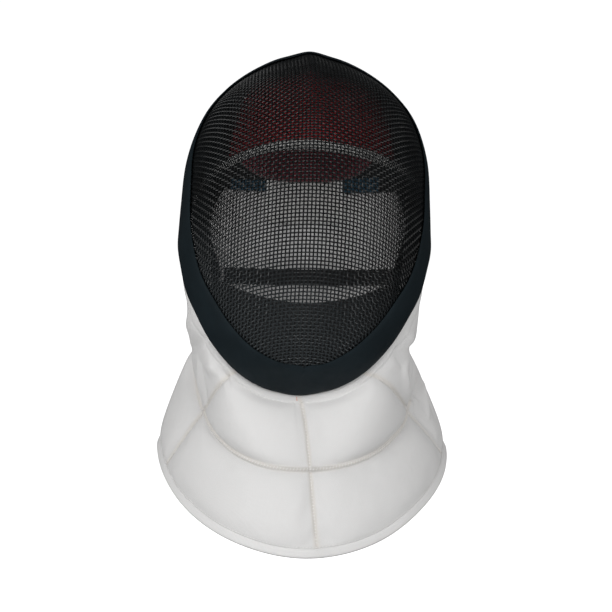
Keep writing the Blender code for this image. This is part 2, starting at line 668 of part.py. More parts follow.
def occiput_pad():
    """The wide pale pad low behind the head, which the tongue's cover laps over."""
    def place(u, v, w):
        x = lens(u, v, OCCIPUT_HALF_WIDTH, OCCIPUT_OUTLINE_POWER, OCCIPUT_END_SHARE)
        height = OCCIPUT_BOTTOM_Z + (OCCIPUT_TOP_Z - OCCIPUT_BOTTOM_Z) * (v + 1.0) / 2.0
        inwards = -TONGUE_THICKNESS - REAR_GAP - w * OCCIPUT_THICKNESS
        return rear_point(x, tongue_along(height), inwards)
    return slab("occiput_pad", 12, 7, place)


def nape_band():
    """The dark blue band behind the tongue's cover, showing at each side of it."""
    def place(u, v, w):
        height = BAND_BOTTOM_Z + (BAND_TOP_Z - BAND_BOTTOM_Z) * (v + 1.0) / 2.0
        inwards = -TONGUE_THICKNESS - REAR_GAP - w * BAND_THICKNESS
        return rear_point(u * BAND_HALF_WIDTH, tongue_along(height), inwards)
    return slab("nape_band", 14, 1, place)


def strap_centre(along):
    """The strap's middle line and the way it faces: along runs from -1, left, to 1, right."""
    straight = STRAP_TURN_Y - STRAP_FRONT_Y
    depth = STRAP_BACK_Y - STRAP_TURN_Y
    bend = math.pi / 2 * math.sqrt((STRAP_HALF_SPAN ** 2 + depth ** 2) / 2)
    distance = np.abs(along) * (straight + bend)
    angle = np.clip(distance / bend, 0.0, 1.0) * math.pi / 2
    run = np.clip(distance - bend, 0.0, None)
    side = np.sign(along)
    x = STRAP_CENTRE_X + side * STRAP_HALF_SPAN * np.sin(angle)
    y = STRAP_TURN_Y + depth * np.cos(angle) - run
    z = STRAP_CENTRE_Z + STRAP_END_RISE * np.asarray(along) ** 2
    facing = unit(np.stack([side * np.sin(angle) * depth, np.cos(angle) * STRAP_HALF_SPAN,
                            0.0 * angle], axis=-1))
    return np.stack([x, y, z], axis=-1), facing


def back_strap():
    """The elastic band behind the head, sewn to the trim at both ends."""
    def place(u, v, w):
        centre, facing = strap_centre(u)
        up = np.array([0.0, 0.0, 1.0]) * (v * STRAP_WIDTH / 2)[..., None]
        return centre + up + facing * ((w - 0.5) * STRAP_THICKNESS)[..., None]
    return slab("back_strap", STRAP_CELLS, 1, place)


def strap_slider():
    """The flat ring that the strap runs through, near its left end."""
    def place(u, v, w):
        corner = (u + 1.0) / 2.0 * 4.0
        inner = np.where(w > 0.5, SLIDER_WALL, 0.0) + SLIDER_GAP
        half_up = STRAP_WIDTH / 2 + inner
        half_out = STRAP_THICKNESS / 2 + SLIDER_SLACK + inner
        ups = np.interp(corner, (0, 1, 2, 3, 4), (-1, 1, 1, -1, -1)) * half_up
        outs = np.interp(corner, (0, 1, 2, 3, 4), (-1, -1, 1, 1, -1)) * half_out
        centre, facing = strap_centre(np.full_like(u, -1.0 + SLIDER_ALONG))
        side = np.cross(facing, np.array([0.0, 0.0, 1.0]))
        return (centre + np.array([0.0, 0.0, 1.0]) * ups[..., None] + facing * outs[..., None]
                + side * (v * SLIDER_LENGTH / 2)[..., None])
    return slab("strap_slider", 4, 1, place, closed_u=True)


PIECES = (
    ("wire_mesh", wire_mesh, (), (0.02, 0.025, 0.025), 0.45, 0.6),
    ("edge_trim", edge_trim, (), (0.012, 0.019, 0.022), 0.75, 0.0),
    ("bib", bib, (), (0.78, 0.78, 0.78), 0.7, 0.0),
    ("bib_hem", bib_hem, (), (0.78, 0.78, 0.78), 0.7, 0.0),
    ("crown_pad", crown_pad, (), (0.28, 0.02, 0.03), 0.85, 0.0),
    ("forehead_binding", forehead_binding, (), (0.7, 0.7, 0.68), 0.8, 0.0),
    ("side_pad_left", side_pad, (-1,), (0.02, 0.02, 0.022), 0.9, 0.0),
    ("side_pad_right", side_pad, (1,), (0.02, 0.02, 0.022), 0.9, 0.0),
    ("cheek_lining_left", cheek_lining, (-1,), (0.02, 0.02, 0.022), 0.9, 0.0),
    ("cheek_lining_right", cheek_lining, (1,), (0.02, 0.02, 0.022), 0.9, 0.0),
    ("chin_lining", chin_lining, (), (0.045, 0.045, 0.048), 0.9, 0.0),
    ("rear_tongue", rear_tongue, (), (0.6, 0.6, 0.6), 0.8, 0.0),
    ("nape_pad", nape_pad, (), (0.16, 0.015, 0.025), 0.85, 0.0),
    ("nape_lining", nape_lining, (), (0.02, 0.02, 0.022), 0.9, 0.0),
    ("occiput_pad", occiput_pad, (), (0.6, 0.6, 0.6), 0.85, 0.0),
    ("nape_band", nape_band, (), (0.015, 0.06, 0.12), 0.8, 0.0),
    ("back_strap", back_strap, (), (0.012, 0.012, 0.013), 0.85, 0.0),
    ("strap_slider", strap_slider, (), (0.5, 0.5, 0.5), 0.4, 0.0),
)


def main():
    for old in list(bpy.data.objects):
        bpy.data.objects.remove(old, do_unlink=True)
    collection = bpy.data.collections.new(MASK_NAME)
    bpy.context.scene.collection.children.link(collection)
    for name, shape, settings, colour, roughness, metallic in PIECES:
        material = make_material(name, colour, roughness, metallic)
        add_piece(collection, name, shape(*settings), material)


main()
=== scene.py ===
"""Fencing mask, dressed: woven wires, a taped edge, a padded lining and a quilted bib.

Laid out as a Blender add-on and run as a script. The scene is in metres, +Z up, in the frame of the
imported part, and the face looks towards -Y. Lengths named here are in millimetres.
"""
import functools
import math
from itertools import pairwise

import bmesh
import bpy
import numpy as np
from bpy.props import FloatProperty, FloatVectorProperty, PointerProperty
from mathutils import Matrix, Vector, noise


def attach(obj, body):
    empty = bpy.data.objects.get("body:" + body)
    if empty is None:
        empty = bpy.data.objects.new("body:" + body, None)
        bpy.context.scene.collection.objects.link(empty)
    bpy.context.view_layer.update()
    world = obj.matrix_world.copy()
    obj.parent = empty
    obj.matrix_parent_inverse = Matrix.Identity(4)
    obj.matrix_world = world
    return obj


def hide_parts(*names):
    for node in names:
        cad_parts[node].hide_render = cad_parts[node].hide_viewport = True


bl_info = {
    "name": "Fencing Mask",
    "version": (1, 0, 0),
    "blender": (4, 5, 0),
    "location": "View3D > Sidebar > Mask",
    "description": "Dresses the packed fencing mask: wires, edge, lining, strap and bib",
    "category": "Object",
}

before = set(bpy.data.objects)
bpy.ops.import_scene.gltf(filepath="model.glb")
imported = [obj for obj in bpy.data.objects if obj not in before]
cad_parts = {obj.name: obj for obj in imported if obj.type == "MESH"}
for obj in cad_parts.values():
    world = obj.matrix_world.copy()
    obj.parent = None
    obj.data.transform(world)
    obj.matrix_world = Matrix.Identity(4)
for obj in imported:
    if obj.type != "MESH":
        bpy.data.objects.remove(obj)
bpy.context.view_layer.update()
BODY = "root"
MM = 0.001
UP = np.array([0.0, 0.0, 1.0])
SHARP_DEG = 50.0
# Steps and weights that even out a shape along the rim.
EASING = ((-2, 0.06), (-1, 0.24), (0, 0.4), (1, 0.24), (2, 0.06))

# The wire bowl: the same table as the part's source. One row for each section, from the back of
# the crown to the chin. keel_y, keel_z: where the section crosses the centre line. half_width,
# side_y, side_z: its widest point. rim_deg: where the wire ends, in degrees from the keel.
BOWL_COLUMNS = ("keel_y", "keel_z", "half_width", "side_y", "side_z", "rim_deg")
BOWL_ROWS = (
    (58.0, 17.5, 13.0, 58.5, 15.0, 45.0),
    (38.0, 22.0, 33.5, 53.0, 9.0, 85.0),
    (8.0, 17.5, 52.5, 34.0, -3.5, 97.0),
    (-28.0, 8.5, 71.5, 16.0, -20.0, 99.0),
    (-64.0, -5.0, 87.0, -3.5, -43.0, 97.0),
    (-97.0, -32.0, 96.5, -19.0, -72.5, 92.0),
    (-124.0, -67.0, 99.0, -33.0, -106.0, 87.0),
    (-139.5, -104.0, 99.5, -46.0, -140.5, 83.0),
    (-145.0, -141.0, 94.5, -60.0, -176.5, 79.0),
    (-142.0, -172.0, 84.5, -68.0, -200.5, 75.0),
    (-132.0, -200.0, 71.5, -76.0, -221.0, 73.0),
    (-117.0, -225.0, 53.0, -82.0, -239.5, 71.0),
    (-100.0, -243.5, 32.0, -86.0, -250.0, 68.0),
    (-88.5, -254.3, 8.5, -86.8, -253.4, 64.0),
)
BOWL_LAST = len(BOWL_ROWS) - 1
SAMPLES = 200
ROW_MARGIN = 0.01
RIM_REACH = 0.036
RIM_TIP_LOSS = 0.18
RIM_TIP_SHARE = 0.012
RIM_SAMPLES = 600
RIM_END_SAMPLES = 23
MESH_THICKNESS = 2.0
RIDGE_HEIGHT = 7.4
RIDGE_HALF_WIDTH = 22.0
RIDGE_SOFTNESS = 6.0
RIDGE_FADE_ROW = 6.0
RIDGE_START_ROW = 1.6
RIDGE_FORWARD = 0.3
BOWL_LEAN = 0.037
BOWL_LEAN_FROM_Z = -120.0

# The woven wires. The cross wires fall away to each side of the keel, by rows for each degree
# squared, and the first of them starts behind the crown. A crossing lies flat for a share of the
# pitch to each side of its middle. The wires are painted paler from one height down to another, as
# painted light bounced up from below.
CROSS_FALL = 1.05e-4
CROSSING_FLAT = 0.2
CROSSING_STEPS = 6
CROSS_START = -24.0
SECTION_DEG = 112.0
WIRE_LIFT_SHARE = 0.48
WIRE_RIM_INSET = 4.0
WIRE_ROW_MARGIN = 0.05
WIRE_TOP_ROW = 0.1
WIRE_BOTTOM_ROW = 12.9
WIRES_EACH_SIDE = 58
WIRE_PAINTED_BOUNCE = 5.4
WIRE_PAINTED_BOUNCE_Z = (-225.0, -120.0)
WIRE_PAINTED_BOUNCE_LEAN = 0.3

# The edge trim: a U round the rim, with a wide outer leg and a narrow inner one.
TRIM_WIDTH = 30.0
TRIM_INNER_WIDTH = 14.0
TRIM_THICKNESS = 1.8
TRIM_GAP = 0.9
TRIM_LUG_HEIGHT = 1.2
TRIM_LUG_ROW = 7.15
TRIM_LUG_ROWS = 0.35
TRIM_STATIONS = 344
TRIM_CELLS = (12, 8, 6)
TRIM_RIPPLE = 0.22
TRIM_RIPPLE_SIZE = 22.0
TRIM_RIPPLE_SEED = 3.0
TRIM_EASE = 0.012
TRIM_EASE_REACH = 0.06
TRIM_TIP_ROUND = 0.12
TRIM_TIP_ROUND_REACH = 9.0
TRIM_SKEW = 3.0
TRIM_SKEW_REACH = 0.05

# The bib. Each ring runs from its left end, round the front, to its right end.
BIB_COLUMNS = ("end_deg", "half_width", "centre_x", "centre_y", "depth",
               "side_z", "front_drop", "power")
BIB_SEAM_RING = (98.0, 88.3, 0.0, 0.0, 101.0, -206.0, 112.0, 0.5)
BIB_HEM_RING = (104.0, 121.0, 2.8, 5.0, 115.0, -307.0, 78.0, 1.04)
BIB_RING_SOFTNESS = 0.005
# How the long seam's stitching runs beside its ring, across and up, from its left end to its
# right.
BIB_SEAM_SHIFTS = ((2.5, -4.0), (0.5, 6.5), (0.5, 1.8), (0.0, 1.0), (0.0, 2.0), (0.0, 1.5),
                   (1.0, -0.3), (2.5, -1.5), (-12.0, 11.5))
# How the hem runs beside its own ring, in the same way.
BIB_HEM_SHIFTS = ((0.0, 0.0), (0.0, 0.0), (0.0, 0.0), (0.0, -0.1), (0.0, -0.8), (0.0, 0.8),
                  (0.0, 3.2), (0.5, 0.0), (0.5, 0.0))
BIB_TOP_ROW = 6.4
BIB_TOP_OUT = 4.7
BIB_TOP_IN = 1.2
BIB_TOP_TURN = 0.25
BIB_TOP_STEP_ROWS = 0.15
BIB_TIP_BLEND = 3.0
BIB_TIP_SPREAD = 0.08
BIB_TIP_EASE = 0.03
BIB_TIP_REACH = 0.1
BIB_STEP = 0.02
BIB_UPPER_FACING = 0.98
BIB_LOWER_FACING = 1.5
BIB_TURN_FROM = 0.8
BIB_TURN_OVER = 0.4
BIB_WALL = 3.2
BIB_DENT = 2.0
BIB_UPPER_PUFFS = (1.2, 5.0, 5.0, 1.0)
BIB_LOWER_PUFFS = (5.5, 5.5, 5.5, 7.0)
BIB_DIAGONALS = (0.245, 0.685, 0.76)
BIB_TWIST_DEG = (0.0, 3.0, 4.0)
BIB_SEAM_KNOT = 0.6
BIB_KNOTS = (-1.0, -BIB_SEAM_KNOT, 0.0, BIB_SEAM_KNOT, 1.0)
BIB_CELLS_ROUND = 300
BIB_CELLS_DOWN = 140
HEM_WIDTH = 7.0
HEM_THICKNESS = 5.0
HEM_LAP = 1.2
TOP_STRIP = 1.0 / 7.0
GRID_CROWDING = 0.6
PAD_EDGE = 5.6
UPRIGHT_EDGE = 7.5
SEAM_LAND = 0.8
ARC_LAND = 2.2
ARC_WELT = 1.9
ARC_WELT_WIDTH = 1.3
ARC_ENDS = (0.68, 0.76)
SEAM_CUT = 0.8
SEAM_CUT_WIDTH = 0.9
HEM_EDGE_SHARE = 0.5
STRIP_HEIGHT = 1.6
BIB_CLOTH_SIZE = (560.0, 170.0)
# Painted warm shade in the bib's seam valleys: its reach from the seams in millimetres, and its
# strength.
PAINTED_SEAM_SHADE_REACH = 12.0
PAINTED_SEAM_SHADE = 0.4
STITCHES_END = 0.97
SEAM_STITCH_DEG = 68.0
CENTRE_STITCH_DEG = 80.0
TOP_THREAD_PLACE = -0.004
# The simulated padding: its cloth starts at a share of its full height, is blown out between the
# sewn seams, and may move by so many millimetres. Its settings are Blender's own.
QUILT_CELLS_ROUND = 150
QUILT_CELLS_DOWN = 70
QUILT_START = 0.85
QUILT_FRAMES = 20
QUILT_STRIP_REACH = 0.008
QUILT_REACH = 3.5
QUILT_SMOOTHING = 4
QUILT_SETTINGS = {
    "quality": 5, "mass": 0.25, "tension_stiffness": 15.0, "compression_stiffness": 15.0,
    "shear_stiffness": 6.0, "bending_stiffness": 1.5, "vertex_group_mass": "sewn",
    "use_pressure": True, "uniform_pressure_force": 3.0, "vertex_group_pressure": "filling",
    "shrink_min": -0.008}
# Folds pressed into the bib: each runs from a to b, places round it and down it. width and
# height are in millimetres, and a valley has a height below nought.
FOLD_COLUMNS = ("around_a", "down_a", "around_b", "down_b", "width", "height")
BIB_FOLDS = (
    (-0.46, 0.05, -0.86, 0.86, 3.0, -3.2),
    (-0.52, 0.02, -0.92, 0.74, 6.0, 2.2),
    (-0.62, 0.50, -0.66, 0.90, 3.5, 2.6),
    (-0.57, 0.42, -0.60, 0.88, 3.0, -2.4),
    (-0.44, 0.20, -0.30, 0.25, 5.0, -2.4),
    (-0.38, 0.16, -0.52, 0.44, 4.5, 2.2),
    (0.44, 0.10, 0.58, 0.46, 3.5, -3.0),
    (0.52, 0.08, 0.68, 0.42, 4.5, 3.0),
    (0.56, 0.42, 0.68, 0.90, 4.0, 3.4),
    (0.65, 0.45, 0.71, 0.98, 3.0, -3.4),
    (0.74, 0.60, 0.765, 1.08, 4.0, 3.8),
    (0.82, 0.70, 0.80, 1.20, 3.0, -3.2),
    (0.88, 0.95, 0.80, 1.45, 4.0, 3.8),
    (0.93, 1.05, 0.84, 1.62, 3.5, -1.5),
    (0.80, 1.00, 0.90, 1.35, 9.0, 2.8),
    (0.60, 0.27, 0.88, 0.86, 4.4, -8.0),
    (0.74, 1.12, 0.80, 1.70, 3.0, -2.6),
)

# The lining. Rows and degrees are those of the bowl.
PAD_GAP = 1.0
CROWN_PAD_THICKNESS = 16.6
CROWN_PAD_FRONT_THICKNESS = 6.0
CROWN_PAD_TAPER = 0.6
CROWN_PAD_BACK_ROW = 1.25
CROWN_PAD_FRONT_ROW = 5.58
CROWN_PAD_BACK_DEG = 30.0
CROWN_PAD_FRONT_DEG = 43.0
CROWN_PAD_QUILT = 0.7
ARCH_FALL_ROWS = (0.75, 0.25)
ARCH_FALL_DEG = 76.0
ARCH_FALL_POWERS = (3.0, 1.2)
BINDING_END_DEG = 68.0
BINDING_WIDTH_ROWS = 0.14
BINDING_THICKNESS = 5.0
BINDING_GAP_ROWS = 0.02
BINDING_END_LOSS = 0.35
BINDING_SOFTNESS = 0.35
SIDE_PAD_DEGS = (46.0, 71.0)
SIDE_PAD_BACK_ROW = 3.6
SIDE_PAD_THICKNESS = 14.0
CHEEK_INNER_EDGE = ((5.9, 44.0), (6.36, 45.0), (6.6, 51.5), (7.0, 55.5), (7.5, 53.5),
                    (7.95, 50.0), (8.6, 49.0))
CHEEK_TOP_GAP_ROWS = 0.21
CHEEK_BOTTOM_GAP_ROWS = 0.05
CHEEK_THICKNESS = 4.0
CHIN_TOP_ROW = 9.35
CHIN_RISE_ROWS = 0.72
CHIN_RISE_DEG = 44.0
CHIN_END_ROW = 11.8
CHIN_END_RISE_ROWS = 0.85
CHIN_THICKNESS = 5.0
LINING_RIM_MARGIN = 24.0
HALVINGS = 12

# The back of the head: the tongue's inner face in side view, from the crown down, as y and z.
TONGUE_PATH = ((42.0, 9.2), (53.0, 7.8), (66.0, 2.0), (77.0, -9.0), (84.0, -30.0),
               (87.0, -60.0), (86.5, -92.0), (84.0, -119.0), (81.0, -150.0), (77.0, -190.0))
REAR_CENTRE_X = 5.0
REAR_SAG_RADIUS = 110.0
TONGUE_END = 7.0
TONGUE_HALF_WIDTH = 32.5
TONGUE_TOP_SHARE = 0.5
TONGUE_WIDE_FROM = 3.0
TONGUE_REAR_FROM = 3.0
TONGUE_THICKNESS = 5.0
NAPE_HALF_WIDTH = 60.0
NAPE_TOP_Z = -14.0
NAPE_BOTTOM_Z = -83.0
NAPE_THICKNESS = 12.0
NAPE_GAP = 0.45
REAR_GAP = 0.7
LENS_FILL = 0.999
NAPE_OUTLINE_POWER = 3.0
NAPE_END_SHARE = 0.3
NAPE_CORNER_RISE = 6.0
NAPE_LINING_HALF_WIDTH = 84.0
NAPE_LINING_TOP_Z = -32.0
NAPE_LINING_BOTTOM_Z = -107.0
NAPE_LINING_THICKNESS = 3.0
NAPE_LINING_BACK = 6.5
NAPE_LINING_BACK_Z = -76.5
NAPE_LINING_BACK_OVER = 10.0
OCCIPUT_HALF_WIDTH = 86.0
OCCIPUT_TOP_Z = -91.2
OCCIPUT_BOTTOM_Z = -188.0
OCCIPUT_THICKNESS = 6.0
OCCIPUT_OUTLINE_POWER = 5.0
OCCIPUT_END_SHARE = 0.72
BAND_HALF_WIDTH = 61.0
BAND_TOP_Z = -81.5
BAND_BOTTOM_Z = -90.8
BAND_RIGHT_RISE = 4.0
BAND_THICKNESS = 1.8

# The back strap: straight along each side, then half an ellipse behind the head.
STRAP_CENTRE_X = -1.2
STRAP_HALF_SPAN = 88.1
STRAP_FRONT_Y = -75.0
STRAP_TURN_Y = -18.0
STRAP_BACK_Y = 82.5
STRAP_CENTRE_Z = -166.5
STRAP_END_RISE = 11.0
STRAP_WIDTH = 14.0
STRAP_THICKNESS = 1.6
SLIDER_ALONG = 0.59
SLIDER_LENGTH = 7.0
SLIDER_WALL = 2.2
SLIDER_GAP = 0.35
SLIDER_SLACK = 0.3

# Cloths: the colour's name, threads to the metre and how far they stand out, how uneven the colour
# is, and how deep the soft creases are. Levels are those of the colour between threads, darker
# there as painted shade, and on them.
CLOTH_COLUMNS = ("colour", "threads", "depth", "vary", "crease", "roughness", "sheen", "ribbed")
CLOTHS = {
    "bib_cloth": ("bib", 1400.0, 0.08, 0.015, 0.3, 0.72, 0.15, False),
    "hem_cloth": ("bib", 1400.0, 0.08, 0.015, 0.2, 0.72, 0.15, False),
    "bib_thread": ("thread", 2500.0, 0.03, 0.02, 0.02, 0.6, 0.3, False),
    "coral_thread": ("mark", 2500.0, 0.03, 0.05, 0.02, 0.6, 0.3, False),
    "crown_cloth": ("crown_pad", 700.0, 0.15, 0.15, 0.3, 0.85, 0.15, False),
    "binding_tape": ("binding", 1200.0, 0.08, 0.03, 0.3, 0.85, 0.15, False),
    "side_cloth": ("side_pad", 800.0, 0.12, 0.1, 0.3, 0.85, 0.15, False),
    "lining_cloth": ("lining", 800.0, 0.12, 0.1, 0.3, 0.85, 0.15, False),
    "chin_cloth": ("chin", 600.0, 0.15, 0.1, 0.3, 0.85, 0.15, False),
    "tongue_cloth": ("tongue", 900.0, 0.1, 0.04, 0.3, 0.85, 0.15, False),
    # The nape pad's cloth: its darker red is painted shade of the crown pad's red.
    "nape_cloth": ("nape_pad", 700.0, 0.15, 0.15, 0.3, 0.85, 0.15, False),
    "nape_lining_cloth": ("lining", 800.0, 0.12, 0.1, 0.3, 0.85, 0.15, False),
    "occiput_cloth": ("occiput", 700.0, 0.15, 0.05, 0.3, 0.85, 0.15, False),
    "nape_webbing": ("nape_band", 900.0, 0.15, 0.08, 0.3, 0.85, 0.15, True),
    "strap_elastic": ("strap", 1300.0, 0.2, 0.08, 0.3, 0.85, 0.15, True),
}
CLOTH_SPECULAR = 0.35
CLOTH_SCALES = (24.0, 60.0)
CLOTH_THREAD_SHADE_LEVELS = (0.8, 1.0)

# The camera, as the photograph was taken, and the studio. Each light has its place, its aim and
# its size in metres, and its watts.
CAMERA_TARGET = (4.06, 0.0, -188.75)
CAMERA_DISTANCE = 1800.0
CAMERA_AZIMUTH = -2.72
CAMERA_ELEVATION = 2.0
CAMERA_ROLL = 1.0
CAMERA_LENS = 125.6
FLOOR_Z = -470.0
BACKDROP_LIGHT = 1.05
ROOM_LIGHT = 0.32
ROOM_GLOSS = 0.04
FLOOR_RADIUS = 14000.0
LIGHTS = (
    ("key", (-1.4, -1.6, 0.15), (0.0, -0.05, -0.2), 1.4, 35.5),
    ("fill", (1.3, -1.7, -0.1), (0.0, -0.05, -0.25), 1.4, 31.0),
    ("bounce", (-0.2, -0.75, -0.44), (0.0, -0.1, -0.2), 0.5, 0.5),
    ("top", (0.1, -0.5, 1.4), (0.0, -0.05, -0.1), 1.0, 2.0),
)


def length_property(name, description, default, low, high):
    return FloatProperty(name=name, description=description, default=default * MM,
                         min=low * MM, max=high * MM, unit="LENGTH")


class MaskSizes(bpy.types.PropertyGroup):
    """Sizes that a user would change."""
    wire_pitch: length_property("Wire pitch", "From one wire to the next", 3.1, 2.2, 4.0)
    wire_diameter: length_property("Wire diameter", "Thickness of each wire", 1.22, 0.8, 1.5)
    stitch_length: length_property("Stitch length", "Length of one seam stitch", 2.6, 1.5, 5.0)
    stitch_pitch: length_property("Stitch spacing", "From one stitch to the next", 3.6, 2.0, 8.0)
    thread_diameter: length_property("Thread", "Thickness of the sewing thread", 0.7, 0.3, 1.2)


def colour_property(name, description, default):
    return FloatVectorProperty(name=name, description=description, default=default,
                               subtype="COLOR", size=3, min=0.0, max=1.0)


class MaskColours(bpy.types.PropertyGroup):
    """Colours of the mask's finishes."""
    wire: colour_property("Wire", "Coated wire", (0.0045, 0.0052, 0.0056))
    trim: colour_property("Edge trim", "Tape round the rim", (0.0075, 0.0125, 0.0155))
    bib: colour_property("Bib", "Cloth of the bib", (0.66, 0.655, 0.65))
    # Painted warm shade for the valleys of the bib's seams.
    bib_seams: colour_property("Bib seams", "Cloth in the seams' valleys", (0.55, 0.5, 0.43))
    mark: colour_property("Top thread", "Coral thread at the bib's top", (0.75, 0.3, 0.2))
    thread: colour_property("Thread", "Sewing thread of the bib", (0.8, 0.79, 0.78))
    crown_pad: colour_property("Crown pad", "Cover of the crown pad", (0.42, 0.01, 0.019))
    binding: colour_property("Forehead binding", "Tape on the lining's edge", (0.92, 0.92, 0.9))
    side_pad: colour_property("Side pads", "Cover of the side pads", (0.009, 0.009, 0.01))
    lining: colour_property("Dark lining", "Thin lining cloth", (0.009, 0.009, 0.01))
    chin: colour_property("Chin lining", "Cloth of the chin lining", (0.055, 0.055, 0.057))
    tongue: colour_property("Rear tongue", "Cover of the rear tongue", (0.64, 0.64, 0.63))
    # The nape pad's red is the crown pad's red cloth, darkened here as painted shade.
    nape_pad: colour_property("Nape pad", "Cover of the nape pad", (0.13, 0.01, 0.021))
    occiput: colour_property("Occiput pad", "Cover of the low rear pad", (0.64, 0.64, 0.64))
    nape_band: colour_property("Nape band", "Webbing of the nape band", (0.012, 0.052, 0.085))
    strap: colour_property("Back strap", "Elastic of the back strap", (0.012, 0.012, 0.013))
    slider: colour_property("Slider", "Moulded slider", (0.5, 0.5, 0.5))


# Shapes of the bowl, the bib and the rear lining, as in the part's source.

def spline_rows(rows, position):
    """Values of a table at fractional row numbers, by a Catmull-Rom curve through its rows."""
    table = np.asarray(rows, float)
    last = len(table) - 1
    position = np.clip(np.asarray(position, float), 0.0, last)
    first = np.clip(np.floor(position).astype(int), 0, last - 1)
    t = (position - first)[..., None]
    padded = np.vstack([2 * table[0] - table[1], table, 2 * table[-1] - table[-2]])
    p0, p1, p2, p3 = (padded[first + step] for step in range(4))
    return 0.5 * (2 * p1 + (p2 - p0) * t + (2 * p0 - 5 * p1 + 4 * p2 - p3) * t ** 2
                  + (3 * p1 - p0 - 3 * p2 + p3) * t ** 3)


def bowl_row(row, column):
    """One column of the bowl's table at fractional row numbers."""
    return spline_rows(BOWL_ROWS, row)[..., BOWL_COLUMNS.index(column)]


def bowl_point(row, angle):
    """The middle surface of the wire at a section and an angle round it, in radians."""
    values = spline_rows(BOWL_ROWS, row)
    keel_y, keel_z, half_width, side_y, side_z = (values[..., i] for i in range(5))
    x = half_width * np.sin(angle)
    y = side_y + (keel_y - side_y) * np.cos(angle)
    z = side_z + (keel_z - side_z) * np.cos(angle)
    row = np.asarray(row, float)
    fade = np.clip(1.0 - row / RIDGE_FADE_ROW, 0.0, 1.0) * np.clip(row / RIDGE_START_ROW, 0.0, 1.0)
    off_ridge = np.hypot(x, RIDGE_SOFTNESS) / RIDGE_HALF_WIDTH
    ridge = RIDGE_HEIGHT * fade * np.clip(1.0 - off_ridge, 0.0, 1.0) ** 2
    lean = BOWL_LEAN * (z - BOWL_LEAN_FROM_Z)
    return np.stack([x + lean, y - RIDGE_FORWARD * ridge, z + ridge], axis=-1)


def unit(vectors):
    return vectors / np.linalg.norm(vectors, axis=-1, keepdims=True)


def travelled(points):
    """The length of a path up to each of its points."""
    return np.concatenate([[0.0], np.cumsum(np.linalg.norm(np.diff(points, axis=0), axis=1))])


def bell(offset, width):
    """1 where the offset is nought, falling smoothly away to both sides."""
    return np.exp(-(offset / width) ** 2)


def bowl_slopes(row, angle):
    """How the surface moves with the row and with the angle."""
    step = 0.002
    along = (bowl_point(row + step, angle) - bowl_point(row - step, angle)) / (2 * step)
    around = (bowl_point(row, angle + step) - bowl_point(row, angle - step)) / (2 * step)
    return along, around


def bowl_normal(row, angle):
    """The direction out of the bowl, away from the head."""
    row = np.clip(row, ROW_MARGIN, BOWL_LAST - ROW_MARGIN)
    along, around = bowl_slopes(row, angle)
    return unit(np.cross(along, around))


def bowl_offset(row, angle, outwards):
    """A point at a distance out of the bowl's middle surface, or into the bowl if negative."""
    return bowl_point(row, angle) + bowl_normal(row, angle) * np.asarray(outwards)[..., None]


def rim_angle(row):
    return np.radians(bowl_row(row, "rim_deg"))


def rim_loop(stations):
    """Rows and angles evenly spaced round the rim, from the chin's tip up the left side."""
    down_side = np.linspace(0.0, BOWL_LAST, RIM_SAMPLES)
    half_end = np.linspace(0.0, 1.0, RIM_END_SAMPLES)[:-1]
    crown = -half_end[::-1] * rim_angle(0.0)
    rows = np.concatenate([np.full_like(half_end, BOWL_LAST), down_side[::-1], 0.0 * crown])
    angles = np.concatenate([-half_end * rim_angle(BOWL_LAST), -rim_angle(down_side[::-1]), crown])
    rows = np.append(rows, rows[-2::-1])
    angles = np.append(angles, -angles[-2::-1])
    length = travelled(bowl_point(rows, angles))
    wanted = stations * length[-1]
    return np.interp(wanted, length, rows), np.interp(wanted, length, angles)


def rim_frame(fraction):
    """Row, angle and the direction along the rim at fractions of its whole length."""
    fraction = np.mod(fraction, 1.0)
    row, angle = rim_loop(fraction)
    ahead = bowl_point(*rim_loop(np.mod(fraction + RIM_REACH, 1.0)))
    behind = bowl_point(*rim_loop(np.mod(fraction - RIM_REACH, 1.0)))
    return row, angle, unit(ahead - behind)


def walk_from_rim(fraction, distance):
    """A point of the bowl at a distance in from the rim, found by short steps on the surface.

    The distance is a little shorter at the chin's tip, where the ways in from both sides meet.
    """
    row, angle, along_rim = rim_frame(fraction)
    from_tip = np.minimum(fraction, 1.0 - fraction)
    distance = distance * (1.0 - RIM_TIP_LOSS * bell(from_tip, RIM_TIP_SHARE))
    steps = 8
    for _ in range(steps):
        safe_row = np.clip(row, ROW_MARGIN, BOWL_LAST - ROW_MARGIN)
        along, around = bowl_slopes(safe_row, angle)
        out = unit(np.cross(along, around))
        inward = unit(np.cross(along_rim, out))
        a, b, c = ((p * q).sum(-1) for p, q in ((along, along), (along, around), (around, around)))
        p, q = (inward * along).sum(-1), (inward * around).sum(-1)
        scale = distance / steps / (a * c - b * b)
        row = row + (p * c - q * b) * scale
        angle = angle + (q * a - p * b) * scale
    return row, angle


def bib_ring(ring, around):
    """A ring of the bib at positions from -1, its left end, to 1, its right end."""
    shape = dict(zip(BIB_COLUMNS, ring))
    angle = np.radians(shape["end_deg"]) * around
    front = np.cos(angle)
    fall = (0.5 * (front + np.sqrt(front ** 2 + BIB_RING_SOFTNESS))) ** shape["power"]
    return np.stack([shape["centre_x"] + shape["half_width"] * np.sin(angle),
                     shape["centre_y"] - shape["depth"] * np.cos(angle),
                     shape["side_z"] - shape["front_drop"] * fall], axis=-1)


def shifted_ring(ring, shifts, around):
    """A ring of the bib, moved across and up by a table of shifts from its left to its right."""
    shift = spline_rows(shifts, (around + 1.0) / 2.0 * (len(shifts) - 1))
    moved = np.stack([shift[..., 0], 0.0 * shift[..., 0], shift[..., 1]], axis=-1)
    return bib_ring(ring, around) + moved


def bib_long_seam(around):
    """The long seam across the bib, which the stitching follows."""
    return shifted_ring(BIB_SEAM_RING, BIB_SEAM_SHIFTS, around)


def bib_hem(around):
    """The bib's lower edge."""
    return shifted_ring(BIB_HEM_RING, BIB_HEM_SHIFTS, around)


